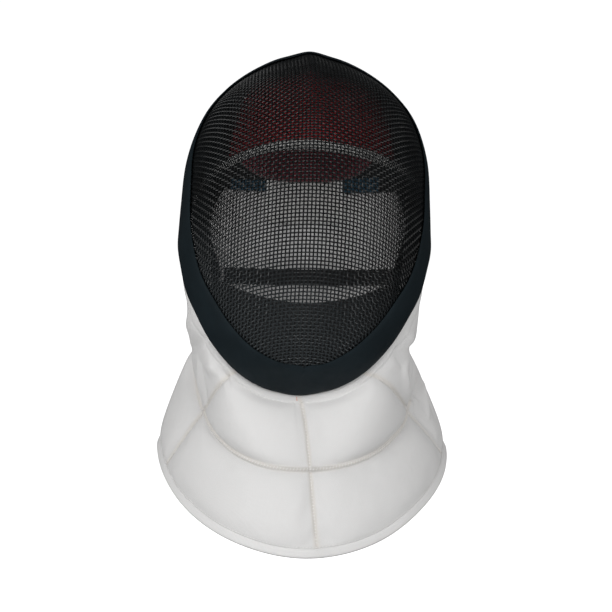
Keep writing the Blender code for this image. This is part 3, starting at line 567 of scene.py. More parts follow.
@functools.lru_cache(maxsize=None)
def bib_top_table():
    """The bib's upper edge and its normal at many places, eased round the chin's tip."""
    around = np.linspace(-1.0, 1.0, 4 * RIM_SAMPLES + 1)
    apart = BIB_TIP_EASE * bell(around, BIB_TIP_REACH)
    spots = [bib_top_spot(around + step * apart) for step, _ in EASING]
    edge = sum(weight * spot for (_, weight), (spot, _) in zip(EASING, spots))
    return around, np.hstack([edge, spots[2][1]])


def bib_top_frame(around):
    """The bib's upper edge, just behind the rim, and its normal."""
    places, table = bib_top_table()
    values = np.stack([np.interp(around, places, column) for column in table.T], axis=-1)
    return values[..., :3], values[..., 3:]


def bib_top_spot(around):
    """A place where the bib butts against the trim just behind the rim, and its normal."""
    rows = np.linspace(BOWL_LAST, BIB_TOP_ROW, SAMPLES)
    side = bowl_point(rows, rim_angle(rows))
    start = side[0, 0]
    length = start + travelled(side)
    wanted = np.abs(around) * length[-1]
    row = np.interp(wanted, length, rows)
    angle = np.sign(around) * rim_angle(row) * np.clip(wanted / start, 0.0, 1.0)
    higher_row = row - BIB_TOP_STEP_ROWS
    lower_row = np.minimum(row + BIB_TOP_STEP_ROWS, BOWL_LAST)
    ahead = bowl_point(higher_row, np.sign(around) * rim_angle(higher_row))
    behind = bowl_point(lower_row, np.sign(around) * rim_angle(lower_row))
    along_rim = unit(ahead - behind) * np.sign(around)[..., None]
    blend = np.clip(wanted / (BIB_TIP_BLEND * start), 0.0, 1.0)[..., None]
    along_rim = unit(along_rim * blend + np.array([1.0, 0.0, 0.0]) * (1.0 - blend))
    normal = bowl_normal(row, angle)
    away = unit(np.cross(along_rim, normal))
    return bowl_point(row, angle) + away * BIB_TOP_OUT - normal * BIB_TOP_IN, normal


def bib_base(around, down):
    """The seam-level surface: down is 0 at the trim, 1 at the long seam and 2 at the hem."""
    top, _ = bib_top_frame(around)
    seam, hem = bib_long_seam(around), bib_hem(around)
    upper = np.clip(down, 0.0, 1.0)[..., None]
    lower = np.clip(down - 1.0, 0.0, 1.0)[..., None]
    return np.where(lower > 0.0, seam + (hem - seam) * lower, top + (seam - top) * upper)


def bib_seams(down):
    """Where the upright seams and the bib's two ends lie, at a height down the bib."""
    centre = np.interp(down, (0.0, 1.0, 2.0), BIB_TWIST_DEG) / BIB_SEAM_RING[0]
    diagonal = np.interp(down, (0.0, 1.0, 2.0), BIB_DIAGONALS)
    end = np.ones_like(centre)
    return (-end, centre - diagonal, centre, centre + diagonal, end)


def crowded(share):
    """A share from 0 to 1 along a panel, with a grid's lines closer together at both ends."""
    return share - GRID_CROWDING * np.sin(2.0 * math.pi * share) / (2.0 * math.pi)


def bib_around(u, down):
    """Spread a grid's columns so that one of them runs down each seam."""
    around = np.zeros_like(u)
    for (low, high), (left, right) in zip(pairwise(BIB_KNOTS), pairwise(bib_seams(down))):
        share = crowded(np.clip((u - low) / (high - low), 0.0, 1.0))
        around = np.where((u >= low) & (u <= high), left + (right - left) * share, around)
    return around


def bib_across(around, down):
    """The way from a step to the left of a place to a step to its right, and how far round."""
    right, left = np.minimum(around + BIB_STEP, 1.0), np.maximum(around - BIB_STEP, -1.0)
    return bib_base(right, down) - bib_base(left, down), right - left


def bib_scale(around, down):
    """Millimetres for one unit round the bib and one unit down it, about a place on it."""
    side, apart = bib_across(around, down)
    start = np.where(down < 1.0, 0.0, 1.0)
    fall = bib_base(around, start + 0.99) - bib_base(around, start + 0.01)
    return np.linalg.norm(side, axis=-1) / apart, np.linalg.norm(fall, axis=-1)


def bib_puff(around, down):
    """How far the padding stands out: steep beside each seam and level between the seams."""
    seams = bib_seams(down)
    wide, tall = bib_scale(around, down)
    height = np.zeros_like(around)
    for upper, lower, (left, right) in zip(BIB_UPPER_PUFFS, BIB_LOWER_PUFFS, pairwise(seams)):
        panel = np.where(down < 1.0, upper, lower)
        height = np.where((around > left) & (around <= right), panel, height)
    upright = np.minimum.reduce([np.abs(around - seam) for seam in seams]) * wide
    hem = HEM_EDGE_SHARE * np.abs(bib_hem_down(around) - down)
    ends = np.minimum(np.abs(down - TOP_STRIP), hem) * tall
    arc = np.maximum(np.abs(down - 1.0) * tall - ARC_LAND, 0.0)
    upright = np.maximum(upright - SEAM_LAND, 0.0)
    rise = 1.0
    for distance, edge in ((upright, UPRIGHT_EDGE), (ends, PAD_EDGE), (arc, PAD_EDGE)):
        rise = rise * (1.0 - np.exp(-distance / edge))
    strip = STRIP_HEIGHT * np.sin(math.pi * np.clip(down / TOP_STRIP, 0.0, 1.0)) ** 0.6
    return np.where(down < TOP_STRIP, strip, height * rise)


def bib_relief(around, down):
    """The welt along the long seam and the folds pressed into the cloth."""
    wide, tall = bib_scale(around, down)
    ends = np.interp(np.abs(around), ARC_ENDS, (1.0, 0.0))
    relief = ARC_WELT * ends * bell((down - 1.0) * tall, ARC_WELT_WIDTH)
    seams = bib_seams(down)[1:4]
    near = np.minimum.reduce([np.abs(around - seam) for seam in seams]) * wide
    relief = relief - SEAM_CUT * (down > TOP_STRIP) * bell(near, SEAM_CUT_WIDTH)
    for values in BIB_FOLDS:
        fold = dict(zip(FOLD_COLUMNS, values))
        run = (fold["around_b"] - fold["around_a"]) * wide, (fold["down_b"] - fold["down_a"]) * tall
        away = (around - fold["around_a"]) * wide, (down - fold["down_a"]) * tall
        along = np.clip((run[0] * away[0] + run[1] * away[1]) / (run[0] ** 2 + run[1] ** 2), 0, 1)
        off = np.hypot(away[0] - along * run[0], away[1] - along * run[1])
        relief = relief + fold["height"] * np.sin(math.pi * along) ** 0.6 * bell(off, fold["width"])
    return relief


def bib_outward(around, down):
    """The way out of the seam-level surface, found from short steps round it and down it."""
    side, _ = bib_across(around, down)
    lower = np.maximum(down, np.where(down > 1.0, 1.0 + BIB_STEP, BIB_STEP))
    fall = bib_base(around, lower) - bib_base(around, lower - 0.9 * BIB_STEP)
    return unit(np.cross(fall, side))


def bib_facing(around, down):
    """The way the bib's padding stands out, smooth over the long seam and next to the trim."""
    seam_out = bib_outward(around, np.full_like(down, BIB_UPPER_FACING))
    hem_out = bib_outward(around, np.full_like(down, BIB_LOWER_FACING))
    turn = np.clip((down - BIB_TURN_FROM) / BIB_TURN_OVER, 0.0, 1.0)[..., None]
    outward = unit(seam_out * (1.0 - turn) + hem_out * turn)
    _, trim_left = bib_top_frame(np.minimum(around, -BIB_TIP_SPREAD))
    _, trim_right = bib_top_frame(np.maximum(around, BIB_TIP_SPREAD))
    share = np.clip(around / BIB_TIP_SPREAD / 2.0 + 0.5, 0.0, 1.0)[..., None]
    trim_out = unit(trim_left * (1.0 - share) + trim_right * share)
    leave = np.clip(down / BIB_TOP_TURN, 0.0, 1.0)[..., None]
    return unit(trim_out * (1.0 - leave) + outward * leave)


def bib_hem_down(around):
    """Where the bib's cloth stops above its hem band, in the units of down."""
    ring_gap = bib_hem(around) - bib_long_seam(around)
    return 2.0 - HEM_WIDTH / np.linalg.norm(ring_gap, axis=-1)


def arch_row(degrees):
    """The lining's front edge over the forehead, as a row of the bowl."""
    share = np.abs(degrees) / ARCH_FALL_DEG
    left, right = (rows * share ** power for rows, power in zip(ARCH_FALL_ROWS, ARCH_FALL_POWERS))
    return CROWN_PAD_FRONT_ROW + np.where(degrees < 0.0, left, right)


def lining_end(row):
    """How far round a row, in degrees, the thin linings reach: just under the trim.

    The row depends on how far round it is, so their shapes are found in a few halving steps.
    """
    row = np.clip(row, 0.0, BOWL_LAST)
    return bowl_row(row, "rim_deg") - np.degrees(LINING_RIM_MARGIN / bowl_row(row, "half_width"))


def chin_top_row(degrees):
    """The chin lining's hollow upper edge, as a row of the bowl."""
    return CHIN_TOP_ROW - CHIN_RISE_ROWS * (degrees / CHIN_RISE_DEG) ** 2


def rear_point(x, along, inwards):
    """A point behind the head: across, along the tongue's path, and in towards the head."""
    last = len(TONGUE_PATH) - 1
    centre = spline_rows(TONGUE_PATH, along)
    step = 0.05
    ahead = spline_rows(TONGUE_PATH, np.minimum(along + step, last))
    behind = spline_rows(TONGUE_PATH, np.maximum(along - step, 0.0))
    path = unit(ahead - behind)
    inward = np.stack([path[..., 1], -path[..., 0]], axis=-1)
    sag = REAR_SAG_RADIUS - np.sqrt(REAR_SAG_RADIUS ** 2 - np.asarray(x) ** 2)
    side_view = centre + inward * (sag + inwards)[..., None]
    across = REAR_CENTRE_X + x - x / REAR_SAG_RADIUS * inwards
    return np.stack([across, side_view[..., 0], side_view[..., 1]], axis=-1)


def tongue_along(height):
    """Where the tongue's path passes a height, for heights behind the head."""
    along = np.linspace(TONGUE_REAR_FROM, len(TONGUE_PATH) - 1, SAMPLES)
    heights = spline_rows(TONGUE_PATH, along)[:, 1]
    return np.interp(-np.asarray(height, float), -heights, along)


def lens(u, v, half_width, power, end_share):
    """Widths of a cushion whose two sides bow out between its top and its bottom."""
    span = (1.0 - LENS_FILL * np.abs(v) ** power) ** (1.0 / power)
    return u * half_width * (end_share + (1.0 - end_share) * span)


def strap_centre(along):
    """The strap's middle line and the way it faces: along runs from -1, left, to 1, right."""
    straight = STRAP_TURN_Y - STRAP_FRONT_Y
    depth = STRAP_BACK_Y - STRAP_TURN_Y
    bend = math.pi / 2 * math.sqrt((STRAP_HALF_SPAN ** 2 + depth ** 2) / 2)
    distance = np.abs(along) * (straight + bend)
    angle = np.clip(distance / bend, 0.0, 1.0) * math.pi / 2
    run = np.clip(distance - bend, 0.0, None)
    side = np.sign(along)
    x = STRAP_CENTRE_X + side * STRAP_HALF_SPAN * np.sin(angle)
    y = STRAP_TURN_Y + depth * np.cos(angle) - run
    z = STRAP_CENTRE_Z + STRAP_END_RISE * np.asarray(along) ** 2
    facing = unit(np.stack([side * np.sin(angle) * depth, np.cos(angle) * STRAP_HALF_SPAN,
                            0.0 * angle], axis=-1))
    return np.stack([x, y, z], axis=-1), facing


# Making pieces.

def finished_mesh(name, bm):
    """A mesh of what was built, whose building is over."""
    mesh = bpy.data.meshes.new(name)
    bm.to_mesh(mesh)
    bm.free()
    return mesh


def slab(name, cells_u, cells_v, place, cloth_size, closed_u=False, crowd=0.0):
    """A closed wall: a grid over u and v from -1 to 1, thickened in w from 0 to 1, then placed.

    cloth_size is its width and height in millimetres, for the map that the weave follows. crowd
    moves the grid's lines towards its edges, where they are rounded.
    """
    bm = bmesh.new()
    bmesh.ops.create_grid(bm, x_segments=cells_u, y_segments=cells_v, size=1.0)
    copied = bmesh.ops.extrude_face_region(bm, geom=bm.faces[:])["geom"]
    for vertex in copied:
        if isinstance(vertex, bmesh.types.BMVert):
            vertex.co.z = 1.0
    if closed_u:
        ends = [f for f in bm.faces if len({round(v.co.x, 4) for v in f.verts}) == 1]
        bmesh.ops.delete(bm, geom=ends, context="FACES_ONLY")
    layer = bm.loops.layers.uv.new("cloth")
    width, height = cloth_size[0] * MM / 2, cloth_size[1] * MM / 2
    for face in bm.faces:
        for loop in face.loops:
            u, v, w = loop.vert.co
            loop[layer].uv = (u * width, v * height + w * MM)
    grid = np.array([v.co for v in bm.verts])
    u, v = (t * (1.0 - crowd) + np.sin(t * math.pi / 2) * crowd for t in (grid[:, 0], grid[:, 1]))
    placed = place(grid[:, 0] if closed_u else u, v, grid[:, 2]) * MM
    for vertex, position in zip(bm.verts, placed):
        vertex.co = position
    if closed_u:
        bmesh.ops.remove_doubles(bm, verts=bm.verts[:], dist=0.000002)
    bmesh.ops.recalc_face_normals(bm, faces=bm.faces[:])
    if bm.calc_volume(signed=True) < 0.0:
        bmesh.ops.reverse_faces(bm, faces=bm.faces[:])
    return finished_mesh(name, bm)


def rounded(t, power=8.0, least=0.12):
    """The share of a pad's thickness across it: full in the middle and rounded off at its edges."""
    return least + (1.0 - least) * np.sqrt(np.clip(1.0 - np.abs(t) ** power, 0.0, 1.0))


def ripple(points, size, seed):
    """Soft, seeded unevenness from -1 to 1 at points in millimetres."""
    return np.array([noise.noise(Vector(p) / size + Vector((seed, 2.0 * seed, -seed)))
                     for p in np.asarray(points)])


def finish_piece(name, mesh, material, slot, replaced=(), fill=None):
    """Put a piece in the scene, riding on the mask's one body, with its finish. Its slot is not
    used.
    """
    mesh.shade_smooth()
    mesh.set_sharp_from_angle(angle=math.radians(SHARP_DEG))
    mesh.materials.clear()
    mesh.materials.append(material)
    piece = bpy.data.objects.new(name, mesh)
    bpy.context.scene.collection.objects.link(piece)
    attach(piece, BODY)
    if replaced:
        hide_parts(*replaced)


# Finishes.

def link(tree, value, socket):
    """Give a socket another node's output, or a plain value."""
    if isinstance(value, bpy.types.NodeSocket):
        tree.links.new(value, socket)
    else:
        socket.default_value = value


def add_node(tree, kind, inputs, **settings):
    """Add a shader node, with values or other nodes' outputs for some of its inputs."""
    node = tree.nodes.new("ShaderNode" + kind)
    for name, value in settings.items():
        setattr(node, name, value)
    for socket, value in inputs.items():
        link(tree, value, node.inputs[socket])
    return node


def math_node(tree, operation, *values):
    return add_node(tree, "Math", dict(enumerate(values)), operation=operation).outputs[0]


def spread(tree, value, source, target, interpolation="LINEAR"):
    """Map a value from one range, as its two ends, to another."""
    ends = dict(zip(("From Min", "From Max", "To Min", "To Max"), (*source, *target)))
    node = add_node(tree, "MapRange", {"Value": value, **ends}, interpolation_type=interpolation)
    return node.outputs["Result"]


def effect_group(name, inputs, output, build):
    """A shared node group with one output, built the first time it is asked for."""
    if name not in bpy.data.node_groups:
        tree = bpy.data.node_groups.new(name, "ShaderNodeTree")
        sockets = tree.interface
        sockets.new_socket(name="Vector", in_out="INPUT", socket_type="NodeSocketVector")
        for label, value in inputs.items():
            socket = sockets.new_socket(name=label, in_out="INPUT", socket_type="NodeSocketFloat")
            socket.default_value = value
        sockets.new_socket(name=output, in_out="OUTPUT", socket_type="NodeSocketFloat")
        given = tree.nodes.new("NodeGroupInput").outputs
        result = build(tree, given)
        tree.links.new(result, tree.nodes.new("NodeGroupOutput").inputs[output])
    return bpy.data.node_groups[name]


def thread_waves(tree, given, labels):
    """Heights of threads across the two ways of a map in metres, so many to the metre."""
    split = add_node(tree, "SeparateXYZ", {0: given["Vector"]}).outputs
    for axis, label in enumerate(labels):
        turns = math_node(tree, "MULTIPLY", given[label], math.pi)
        wave = math_node(tree, "SINE", math_node(tree, "MULTIPLY", split[axis], turns))
        yield math_node(tree, "ABSOLUTE", wave)


def plain_weave():
    """Threads over and under each other, along the two ways of a map in metres."""
    def build(tree, given):
        return math_node(tree, "MULTIPLY", *thread_waves(tree, given, ("Threads", "Threads")))
    return effect_group("Plain weave", {"Threads": 1000.0}, "Height", build)


def ribbed_weave():
    """Ribs along one way of a map in metres, with fine threads across them, as in elastic."""
    def build(tree, given):
        threads, ribs = thread_waves(tree, given, ("Threads", "Ribs"))
        return math_node(tree, "MULTIPLY_ADD", threads, 0.3, ribs)
    return effect_group("Ribbed weave", {"Ribs": 800.0, "Threads": 1600.0}, "Height", build)


def soft_mottle():
    """Slow unevenness of colour and gloss over a piece, as a factor from Low to High."""
    def build(tree, given):
        cloud = add_node(tree, "TexNoise", {"Vector": given["Vector"], "Scale": given["Scale"],
                                            "Detail": 3.0, "Roughness": 0.55})
        return spread(tree, cloud.outputs["Fac"], (0.3, 0.7), (given["Low"], given["High"]))
    return effect_group("Soft mottle", {"Scale": 20.0, "Low": 0.0, "High": 1.0}, "Factor", build)


def new_material(name, roughness, specular=0.5):
    """A material with its shader, and its coordinates by name."""
    material = bpy.data.materials.new(name)
    material.use_nodes = True
    tree = material.node_tree
    shader = tree.nodes["Principled BSDF"].inputs
    shader["Roughness"].default_value = roughness
    shader["Specular IOR Level"].default_value = specular
    return material, tree, shader, tree.nodes.new("ShaderNodeTexCoord").outputs


def effect(tree, group, place, **values):
    """The output of an effect group placed in a material with its own values."""
    return add_node(tree, "Group", {"Vector": place, **values}, node_tree=group).outputs[0]


def colour_mix(tree, factor, *colours):
    node = add_node(tree, "Mix", {}, data_type="RGBA")
    link(tree, factor, node.inputs["Factor"])
    for label, value in zip("AB", colours):
        value = value if isinstance(value, bpy.types.NodeSocket) else (*value, 1.0)
        link(tree, value, node.inputs[label])
    return node.outputs["Result"]


def shade(colour, factor):
    return tuple(min(channel * factor, 1.0) for channel in colour)


def mottled(tree, place, scale, colour, low, high):
    """Uneven colour from one shade of a colour to another."""
    factor = effect(tree, soft_mottle(), place, Scale=scale)
    return colour_mix(tree, factor, shade(colour, low), shade(colour, high))


def uneven_gloss(tree, place, scale, low, high):
    return effect(tree, soft_mottle(), place, Scale=scale, Low=low, High=high)


def bump(tree, height, distance, **under):
    """A bump of some millimetres, on top of another one or alone."""
    inputs = {"Distance": distance * MM, "Height": height, **under}
    return add_node(tree, "Bump", inputs).outputs["Normal"]


def cloth(name):
    """A woven cloth: threads along its own map, with painted shade between them, soft creases and
    uneven colour.
    """
    look = dict(zip(CLOTH_COLUMNS, CLOTHS[name]))
    colour, vary = getattr(bpy.context.scene.mask_colours, look["colour"]), look["vary"]
    material, tree, shader, places = new_material(name, look["roughness"], CLOTH_SPECULAR)
    weave = ribbed_weave if look["ribbed"] else plain_weave
    woven = effect(tree, weave(), places["UV"], Threads=look["threads"])
    mottle, creases = (effect(tree, soft_mottle(), places["Object"], Scale=scale)
                       for scale in CLOTH_SCALES)
    # Darker between the threads, as painted shade in the weave's hollows.
    dark, light = (
        colour_mix(tree, mottle, shade(colour, level - vary), shade(colour, level + vary))
        for level in CLOTH_THREAD_SHADE_LEVELS)
    link(tree, colour_mix(tree, woven, dark, light), shader["Base Color"])
    creased = bump(tree, creases, look["crease"])
    link(tree, bump(tree, woven, look["depth"], Normal=creased), shader["Normal"])
    shader["Sheen Weight"].default_value = look["sheen"]
    shader["Sheen Roughness"].default_value = 0.5
    return material


def wire_material(colour):
    """Black coated wire: satin, a little uneven, and painted paler towards the chin with painted
    light from below.
    """
    material, tree, shader, places = new_material("coated_wire", 0.3, 0.22)
    coated = mottled(tree, places["Object"], 70.0, colour, 0.75, 1.5)
    split = add_node(tree, "SeparateXYZ", {0: places["Object"]}).outputs
    # Painted light bounced up from below: paler from one height down to another.
    low = math_node(tree, "MULTIPLY_ADD", split[0], WIRE_PAINTED_BOUNCE_LEAN, split[2])
    painted_bounce = spread(tree, low, [z * MM for z in WIRE_PAINTED_BOUNCE_Z], (1.0, 0.0), "SMOOTHSTEP")
    link(tree, colour_mix(tree, painted_bounce, coated, shade(colour, WIRE_PAINTED_BOUNCE)), shader["Base Color"])
    link(tree, uneven_gloss(tree, places["Object"], 160.0, 0.24, 0.36), shader["Roughness"])
    return material


def trim_material(colour):
    """Smooth coated tape, nearly matt, with a fine grain and soft scuffs."""
    material, tree, shader, places = new_material("coated_tape", 0.6, 0.12)
    link(tree, mottled(tree, places["Object"], 30.0, colour, 0.86, 1.16), shader["Base Color"])
    link(tree, uneven_gloss(tree, places["Object"], 90.0, 0.52, 0.68), shader["Roughness"])
    grain = effect(tree, plain_weave(), places["UV"], Threads=1600.0)
    link(tree, bump(tree, grain, 0.05), shader["Normal"])
    return material


def bib_material(seam_shade_colour):
    """White cloth with painted warm shade in the valleys of the seams, which lie along its own map.
    """
    material = cloth("bib_cloth")
    tree = material.node_tree
    base = tree.nodes["Principled BSDF"].inputs["Base Color"]
    places = tree.nodes["Texture Coordinate"].outputs
    split = add_node(tree, "SeparateXYZ", {0: places["UV"]}).outputs
    sideways = math_node(tree, "ABSOLUTE", split[0])
    diagonal = BIB_SEAM_KNOT * BIB_CLOTH_SIZE[0] * MM / 2
    slanted, level = (math_node(tree, "ABSOLUTE", math_node(tree, "SUBTRACT", place, seam))
                      for place, seam in ((sideways, diagonal), (split[1], MM)))
    near = math_node(tree, "MINIMUM", math_node(tree, "MINIMUM", sideways, slanted), level)
    # The colour turns to the painted shade near the seams.
    seam_shade = spread(tree, near, (0.0, PAINTED_SEAM_SHADE_REACH * MM), (PAINTED_SEAM_SHADE, 0.0), "SMOOTHSTEP")
    link(tree, colour_mix(tree, seam_shade, base.links[0].from_socket, seam_shade_colour), base)
    return material


def moulded_material(colour):
    """Moulded plastic with a fine sand texture."""
    material, tree, shader, places = new_material("slider_plastic", 0.42)
    link(tree, mottled(tree, places["Object"], 300.0, colour, 0.92, 1.05), shader["Base Color"])
    sand = effect(tree, soft_mottle(), places["Object"], Scale=2500.0)
    link(tree, bump(tree, sand, 0.04), shader["Normal"])
    return material


# The wires.

def section_lengths():
    """Angles, and the length from the keel round to each of them in many sections."""
    rows = np.linspace(0.0, BOWL_LAST, SAMPLES)
    angles = np.radians(np.linspace(0.0, SECTION_DEG, SAMPLES))
    sections = bowl_point(*np.meshgrid(rows, angles, indexing="ij"))
    return angles, np.stack([travelled(section) for section in sections])


def angle_at_length(row, length, angles, lengths):
    """The angle round a section at a length from the keel, to either side."""
    place = np.clip(row, 0.0, BOWL_LAST) / BOWL_LAST * (SAMPLES - 1)
    first = np.clip(np.floor(place).astype(int), 0, SAMPLES - 2)
    share = (place - first)[:, None]
    here = lengths[first] * (1.0 - share) + lengths[first + 1] * share
    found = np.array([np.interp(abs(length), known, angles) for known in here])
    return found * (1.0 if length >= 0.0 else -1.0)


def crossing_grid(pitch):
    """Rows and angles where the cross wires meet the upright ones, and which of them exist."""
    keel_rows = np.linspace(0.0, BOWL_LAST, RIM_SAMPLES)
    keel_length = travelled(bowl_point(keel_rows, np.zeros_like(keel_rows)))
    lengths = np.arange(int(CROSS_START / pitch), int(keel_length[-1] / pitch) + 1) * pitch
    first_slope = (keel_rows[1] - keel_rows[0]) / (keel_length[1] - keel_length[0])
    start_rows = np.where(lengths < 0.0, lengths * first_slope,
                          np.interp(lengths, keel_length, keel_rows))
    sections = section_lengths()
    columns = np.arange(-WIRES_EACH_SIDE, WIRES_EACH_SIDE + 1)
    rows = np.empty((len(start_rows), len(columns)))
    angles = np.empty_like(rows)
    for i, column in enumerate(columns):
        row = start_rows
        for _ in range(CROSSING_STEPS):
            angle = angle_at_length(row, column * pitch, *sections)
            row = start_rows + CROSS_FALL * np.degrees(angle) ** 2
        rows[:, i], angles[:, i] = row, angle
    safe = np.clip(rows, 0.0, BOWL_LAST)
    edge = rim_angle(safe) - WIRE_RIM_INSET / bowl_row(safe, "half_width")
    exists = (rows > WIRE_TOP_ROW) & (rows < WIRE_BOTTOM_ROW) & (np.abs(angles) < edge)
    return rows, angles, exists


def wire_runs(exists):
    """Unbroken stretches of a line of crossings, as first and last numbers."""
    marks = np.flatnonzero(np.diff(np.concatenate([[0], exists.astype(int), [0]])))
    return [(a, b - 1) for a, b in zip(marks[::2], marks[1::2]) if b - a > 2]


def wire_points(rows, angles, first, last, parity, lift):
    """A wire's path over and under the wires it crosses, with two points at each crossing."""
    numbers = np.arange(first, last + 1)
    at = np.sort(np.concatenate([numbers - CROSSING_FLAT, numbers + CROSSING_FLAT]))
    level = np.repeat(np.where((numbers + parity) % 2 == 0, lift, -lift), 2)
    spots = np.arange(len(rows))
    row, angle = np.interp(at, spots, rows), np.interp(at, spots, angles)
    row = np.clip(row, WIRE_ROW_MARGIN, BOWL_LAST - WIRE_ROW_MARGIN)
    return bowl_offset(row, angle, level) * MM


def wire_piece(name, paths, diameter, material, replaced):
    """One piece of many wires, each a round tube along its path."""
    curve = bpy.data.curves.new(name, "CURVE")
    curve.dimensions = "3D"
    curve.bevel_depth = diameter / 2
    curve.bevel_resolution = 1
    curve.use_fill_caps = True
    for path in paths:
        spline = curve.splines.new("POLY")
        spline.points.add(len(path) - 1)
        spline.points.foreach_set("co", np.column_stack([path, np.ones(len(path))]).ravel())
    maker = bpy.data.objects.new(name + "_curve", curve)
    bpy.context.scene.collection.objects.link(maker)
    graph = bpy.context.evaluated_depsgraph_get()
    mesh = bpy.data.meshes.new_from_object(maker.evaluated_get(graph))
    mesh.name = name
    bpy.data.objects.remove(maker, do_unlink=True)
    bpy.data.curves.remove(curve)
    finish_piece(name, mesh, material, "wire_mesh", replaced)


class MASK_OT_wires(bpy.types.Operator):
    """Weave the bowl from crimped upright and cross wires"""
    bl_idname = "mask.wires"
    bl_label = "Woven wires"

    def execute(self, context):
        sizes = context.scene.mask_sizes
        lift = sizes.wire_diameter / MM * WIRE_LIFT_SHARE
        rows, angles, exists = crossing_grid(sizes.wire_pitch / MM)
        cross = [wire_points(rows[j], angles[j], *run, j, lift)
                 for j in range(rows.shape[0]) for run in wire_runs(exists[j])]
        upright = [wire_points(rows[:, i], angles[:, i], *run, i + 1, lift)
                   for i in range(rows.shape[1]) for run in wire_runs(exists[:, i])]
        material = wire_material(context.scene.mask_colours.wire)
        half, middle = len(cross) // 2, len(upright) // 2
        for name, paths, replaced in (("cross_wires_upper", cross[:half], ("wire_mesh",)),
                                      ("cross_wires_lower", cross[half:], ()),
                                      ("upright_wires_left", upright[:middle], ()),
                                      ("upright_wires_right", upright[middle:], ())):
            wire_piece(name, paths, sizes.wire_diameter, material, replaced)
        return {"FINISHED"}


# The edge trim.

def trim_profile(v):
    """The U in its own plane: in from the rim, out of the bowl, beyond the rim, and its facing."""
    clear = MESH_THICKNESS / 2 + TRIM_GAP + TRIM_THICKNESS / 2
    outer_cells, bend_cells, inner_cells = TRIM_CELLS
    place = (v + 1.0) / 2.0 * sum(TRIM_CELLS)
    outer = np.clip(place / outer_cells, 0.0, 1.0)
    bend = np.clip((place - outer_cells) / bend_cells, 0.0, 1.0) * math.pi
    inner = np.clip((place - outer_cells - bend_cells) / inner_cells, 0.0, 1.0)
    inwards = TRIM_WIDTH * (1.0 - outer) + TRIM_INNER_WIDTH * inner
    return inwards, clear * np.cos(bend), -clear * np.sin(bend), bend


def trim_place(u, v, w):
    """The trim's wall, eased along the rim at the chin's tip, where both sides meet."""
    apart = TRIM_EASE * bell(1.0 - np.abs(u), TRIM_EASE_REACH)
    return sum(weight * trim_point((u + step * apart + 1.0) / 2.0, v, w) for step, weight in EASING)


def trim_point(fraction, v, w):
    """A point of the trim's wall, thinner towards both of its cut edges."""
    inwards, out, beyond, bend = trim_profile(v)
    row, angle = walk_from_rim(fraction, inwards)
    share = inwards / TRIM_WIDTH * bell(np.minimum(fraction, 1.0 - fraction), TRIM_SKEW_REACH)
    half_width = bowl_row(np.clip(row, 0.0, BOWL_LAST), "half_width")
    round_off = bell(half_width * np.sin(angle), TRIM_TIP_ROUND_REACH)
    row = row - TRIM_TIP_ROUND * share ** 2 * (bend < 1.0) * round_off
    angle = angle + TRIM_SKEW * share / half_width
    _, _, along_rim = rim_frame(fraction)
    normal = bowl_normal(row, angle)
    inward = unit(np.cross(along_rim, normal))
    shift = (w - 0.5) * TRIM_THICKNESS * rounded(v, 60.0, 0.35)
    lug = TRIM_LUG_HEIGHT * bell(row - TRIM_LUG_ROW, TRIM_LUG_ROWS)
    lug = lug * w * (bend < 1.0) * np.clip(1.0 - inwards / TRIM_WIDTH, 0.0, 1.0)
    level = out + shift * np.cos(bend) + lug
    uneven = TRIM_RIPPLE * ripple(bowl_point(row, angle), TRIM_RIPPLE_SIZE, TRIM_RIPPLE_SEED)
    reach = beyond - shift * np.sin(bend) + uneven * np.abs(np.cos(bend))
    return bowl_point(row, angle) + normal * level[..., None] + inward * reach[..., None]


class MASK_OT_trim(bpy.types.Operator):
    """Wrap the dark coated tape round the rim"""
    bl_idname = "mask.trim"
    bl_label = "Edge trim"

    def execute(self, context):
        mesh = slab("edge_tape", TRIM_STATIONS, sum(TRIM_CELLS), trim_place, (900.0, 52.0),
                    closed_u=True)
        material = trim_material(context.scene.mask_colours.trim)
        finish_piece("edge_tape", mesh, material, "edge_trim", ("edge_trim",))
        return {"FINISHED"}


# The bib.

QUILT = None


def bib_wall_point(around, down, out, puff_share=1.0):
    """A point of the bib's wall: out is 0 on the inside and 1 on the padded outside."""
    base, outward = bib_base(around, down), bib_facing(around, down)
    level = -BIB_WALL / 2 + out * (BIB_WALL + puff_share * bib_puff(around, down))
    return base + outward * np.asarray(level)[..., None]


def bib_spot(u, v):
    """How far round and down the bib a point of its grid is."""
    end = bib_hem_down(bib_around(u, np.full_like(u, 2.0)))
    upper, lower = (crowded(np.clip(t, 0.0, 1.0)) for t in (1.0 - v, -v))
    down = upper + lower * (end - 1.0)
    return bib_around(u, down), down


def quilt_sheet():
    """The bib's outer cloth before it is filled, its grid, its places and its sewn points."""
    bm = bmesh.new()
    bmesh.ops.create_grid(bm, x_segments=QUILT_CELLS_ROUND, y_segments=QUILT_CELLS_DOWN, size=1.0)
    grid = np.array([v.co for v in bm.verts])
    around, down = bib_spot(grid[:, 0], grid[:, 1])
    placed = bib_wall_point(around, down, np.ones_like(down), QUILT_START) * MM
    for vertex, position in zip(bm.verts, placed):
        vertex.co = position
    near_u, near_v = (np.minimum.reduce([np.abs(t - knot) for knot in knots])
                      for t, knots in ((grid[:, 0], BIB_KNOTS), (grid[:, 1], (-1.0, 0.0, 1.0))))
    strip = np.abs(down - TOP_STRIP) < QUILT_STRIP_REACH
    sewn = (near_u < 0.5 / QUILT_CELLS_ROUND) | (near_v < 0.5 / QUILT_CELLS_DOWN) | strip
    return finished_mesh("quilt_sheet", bm), grid, placed, sewn


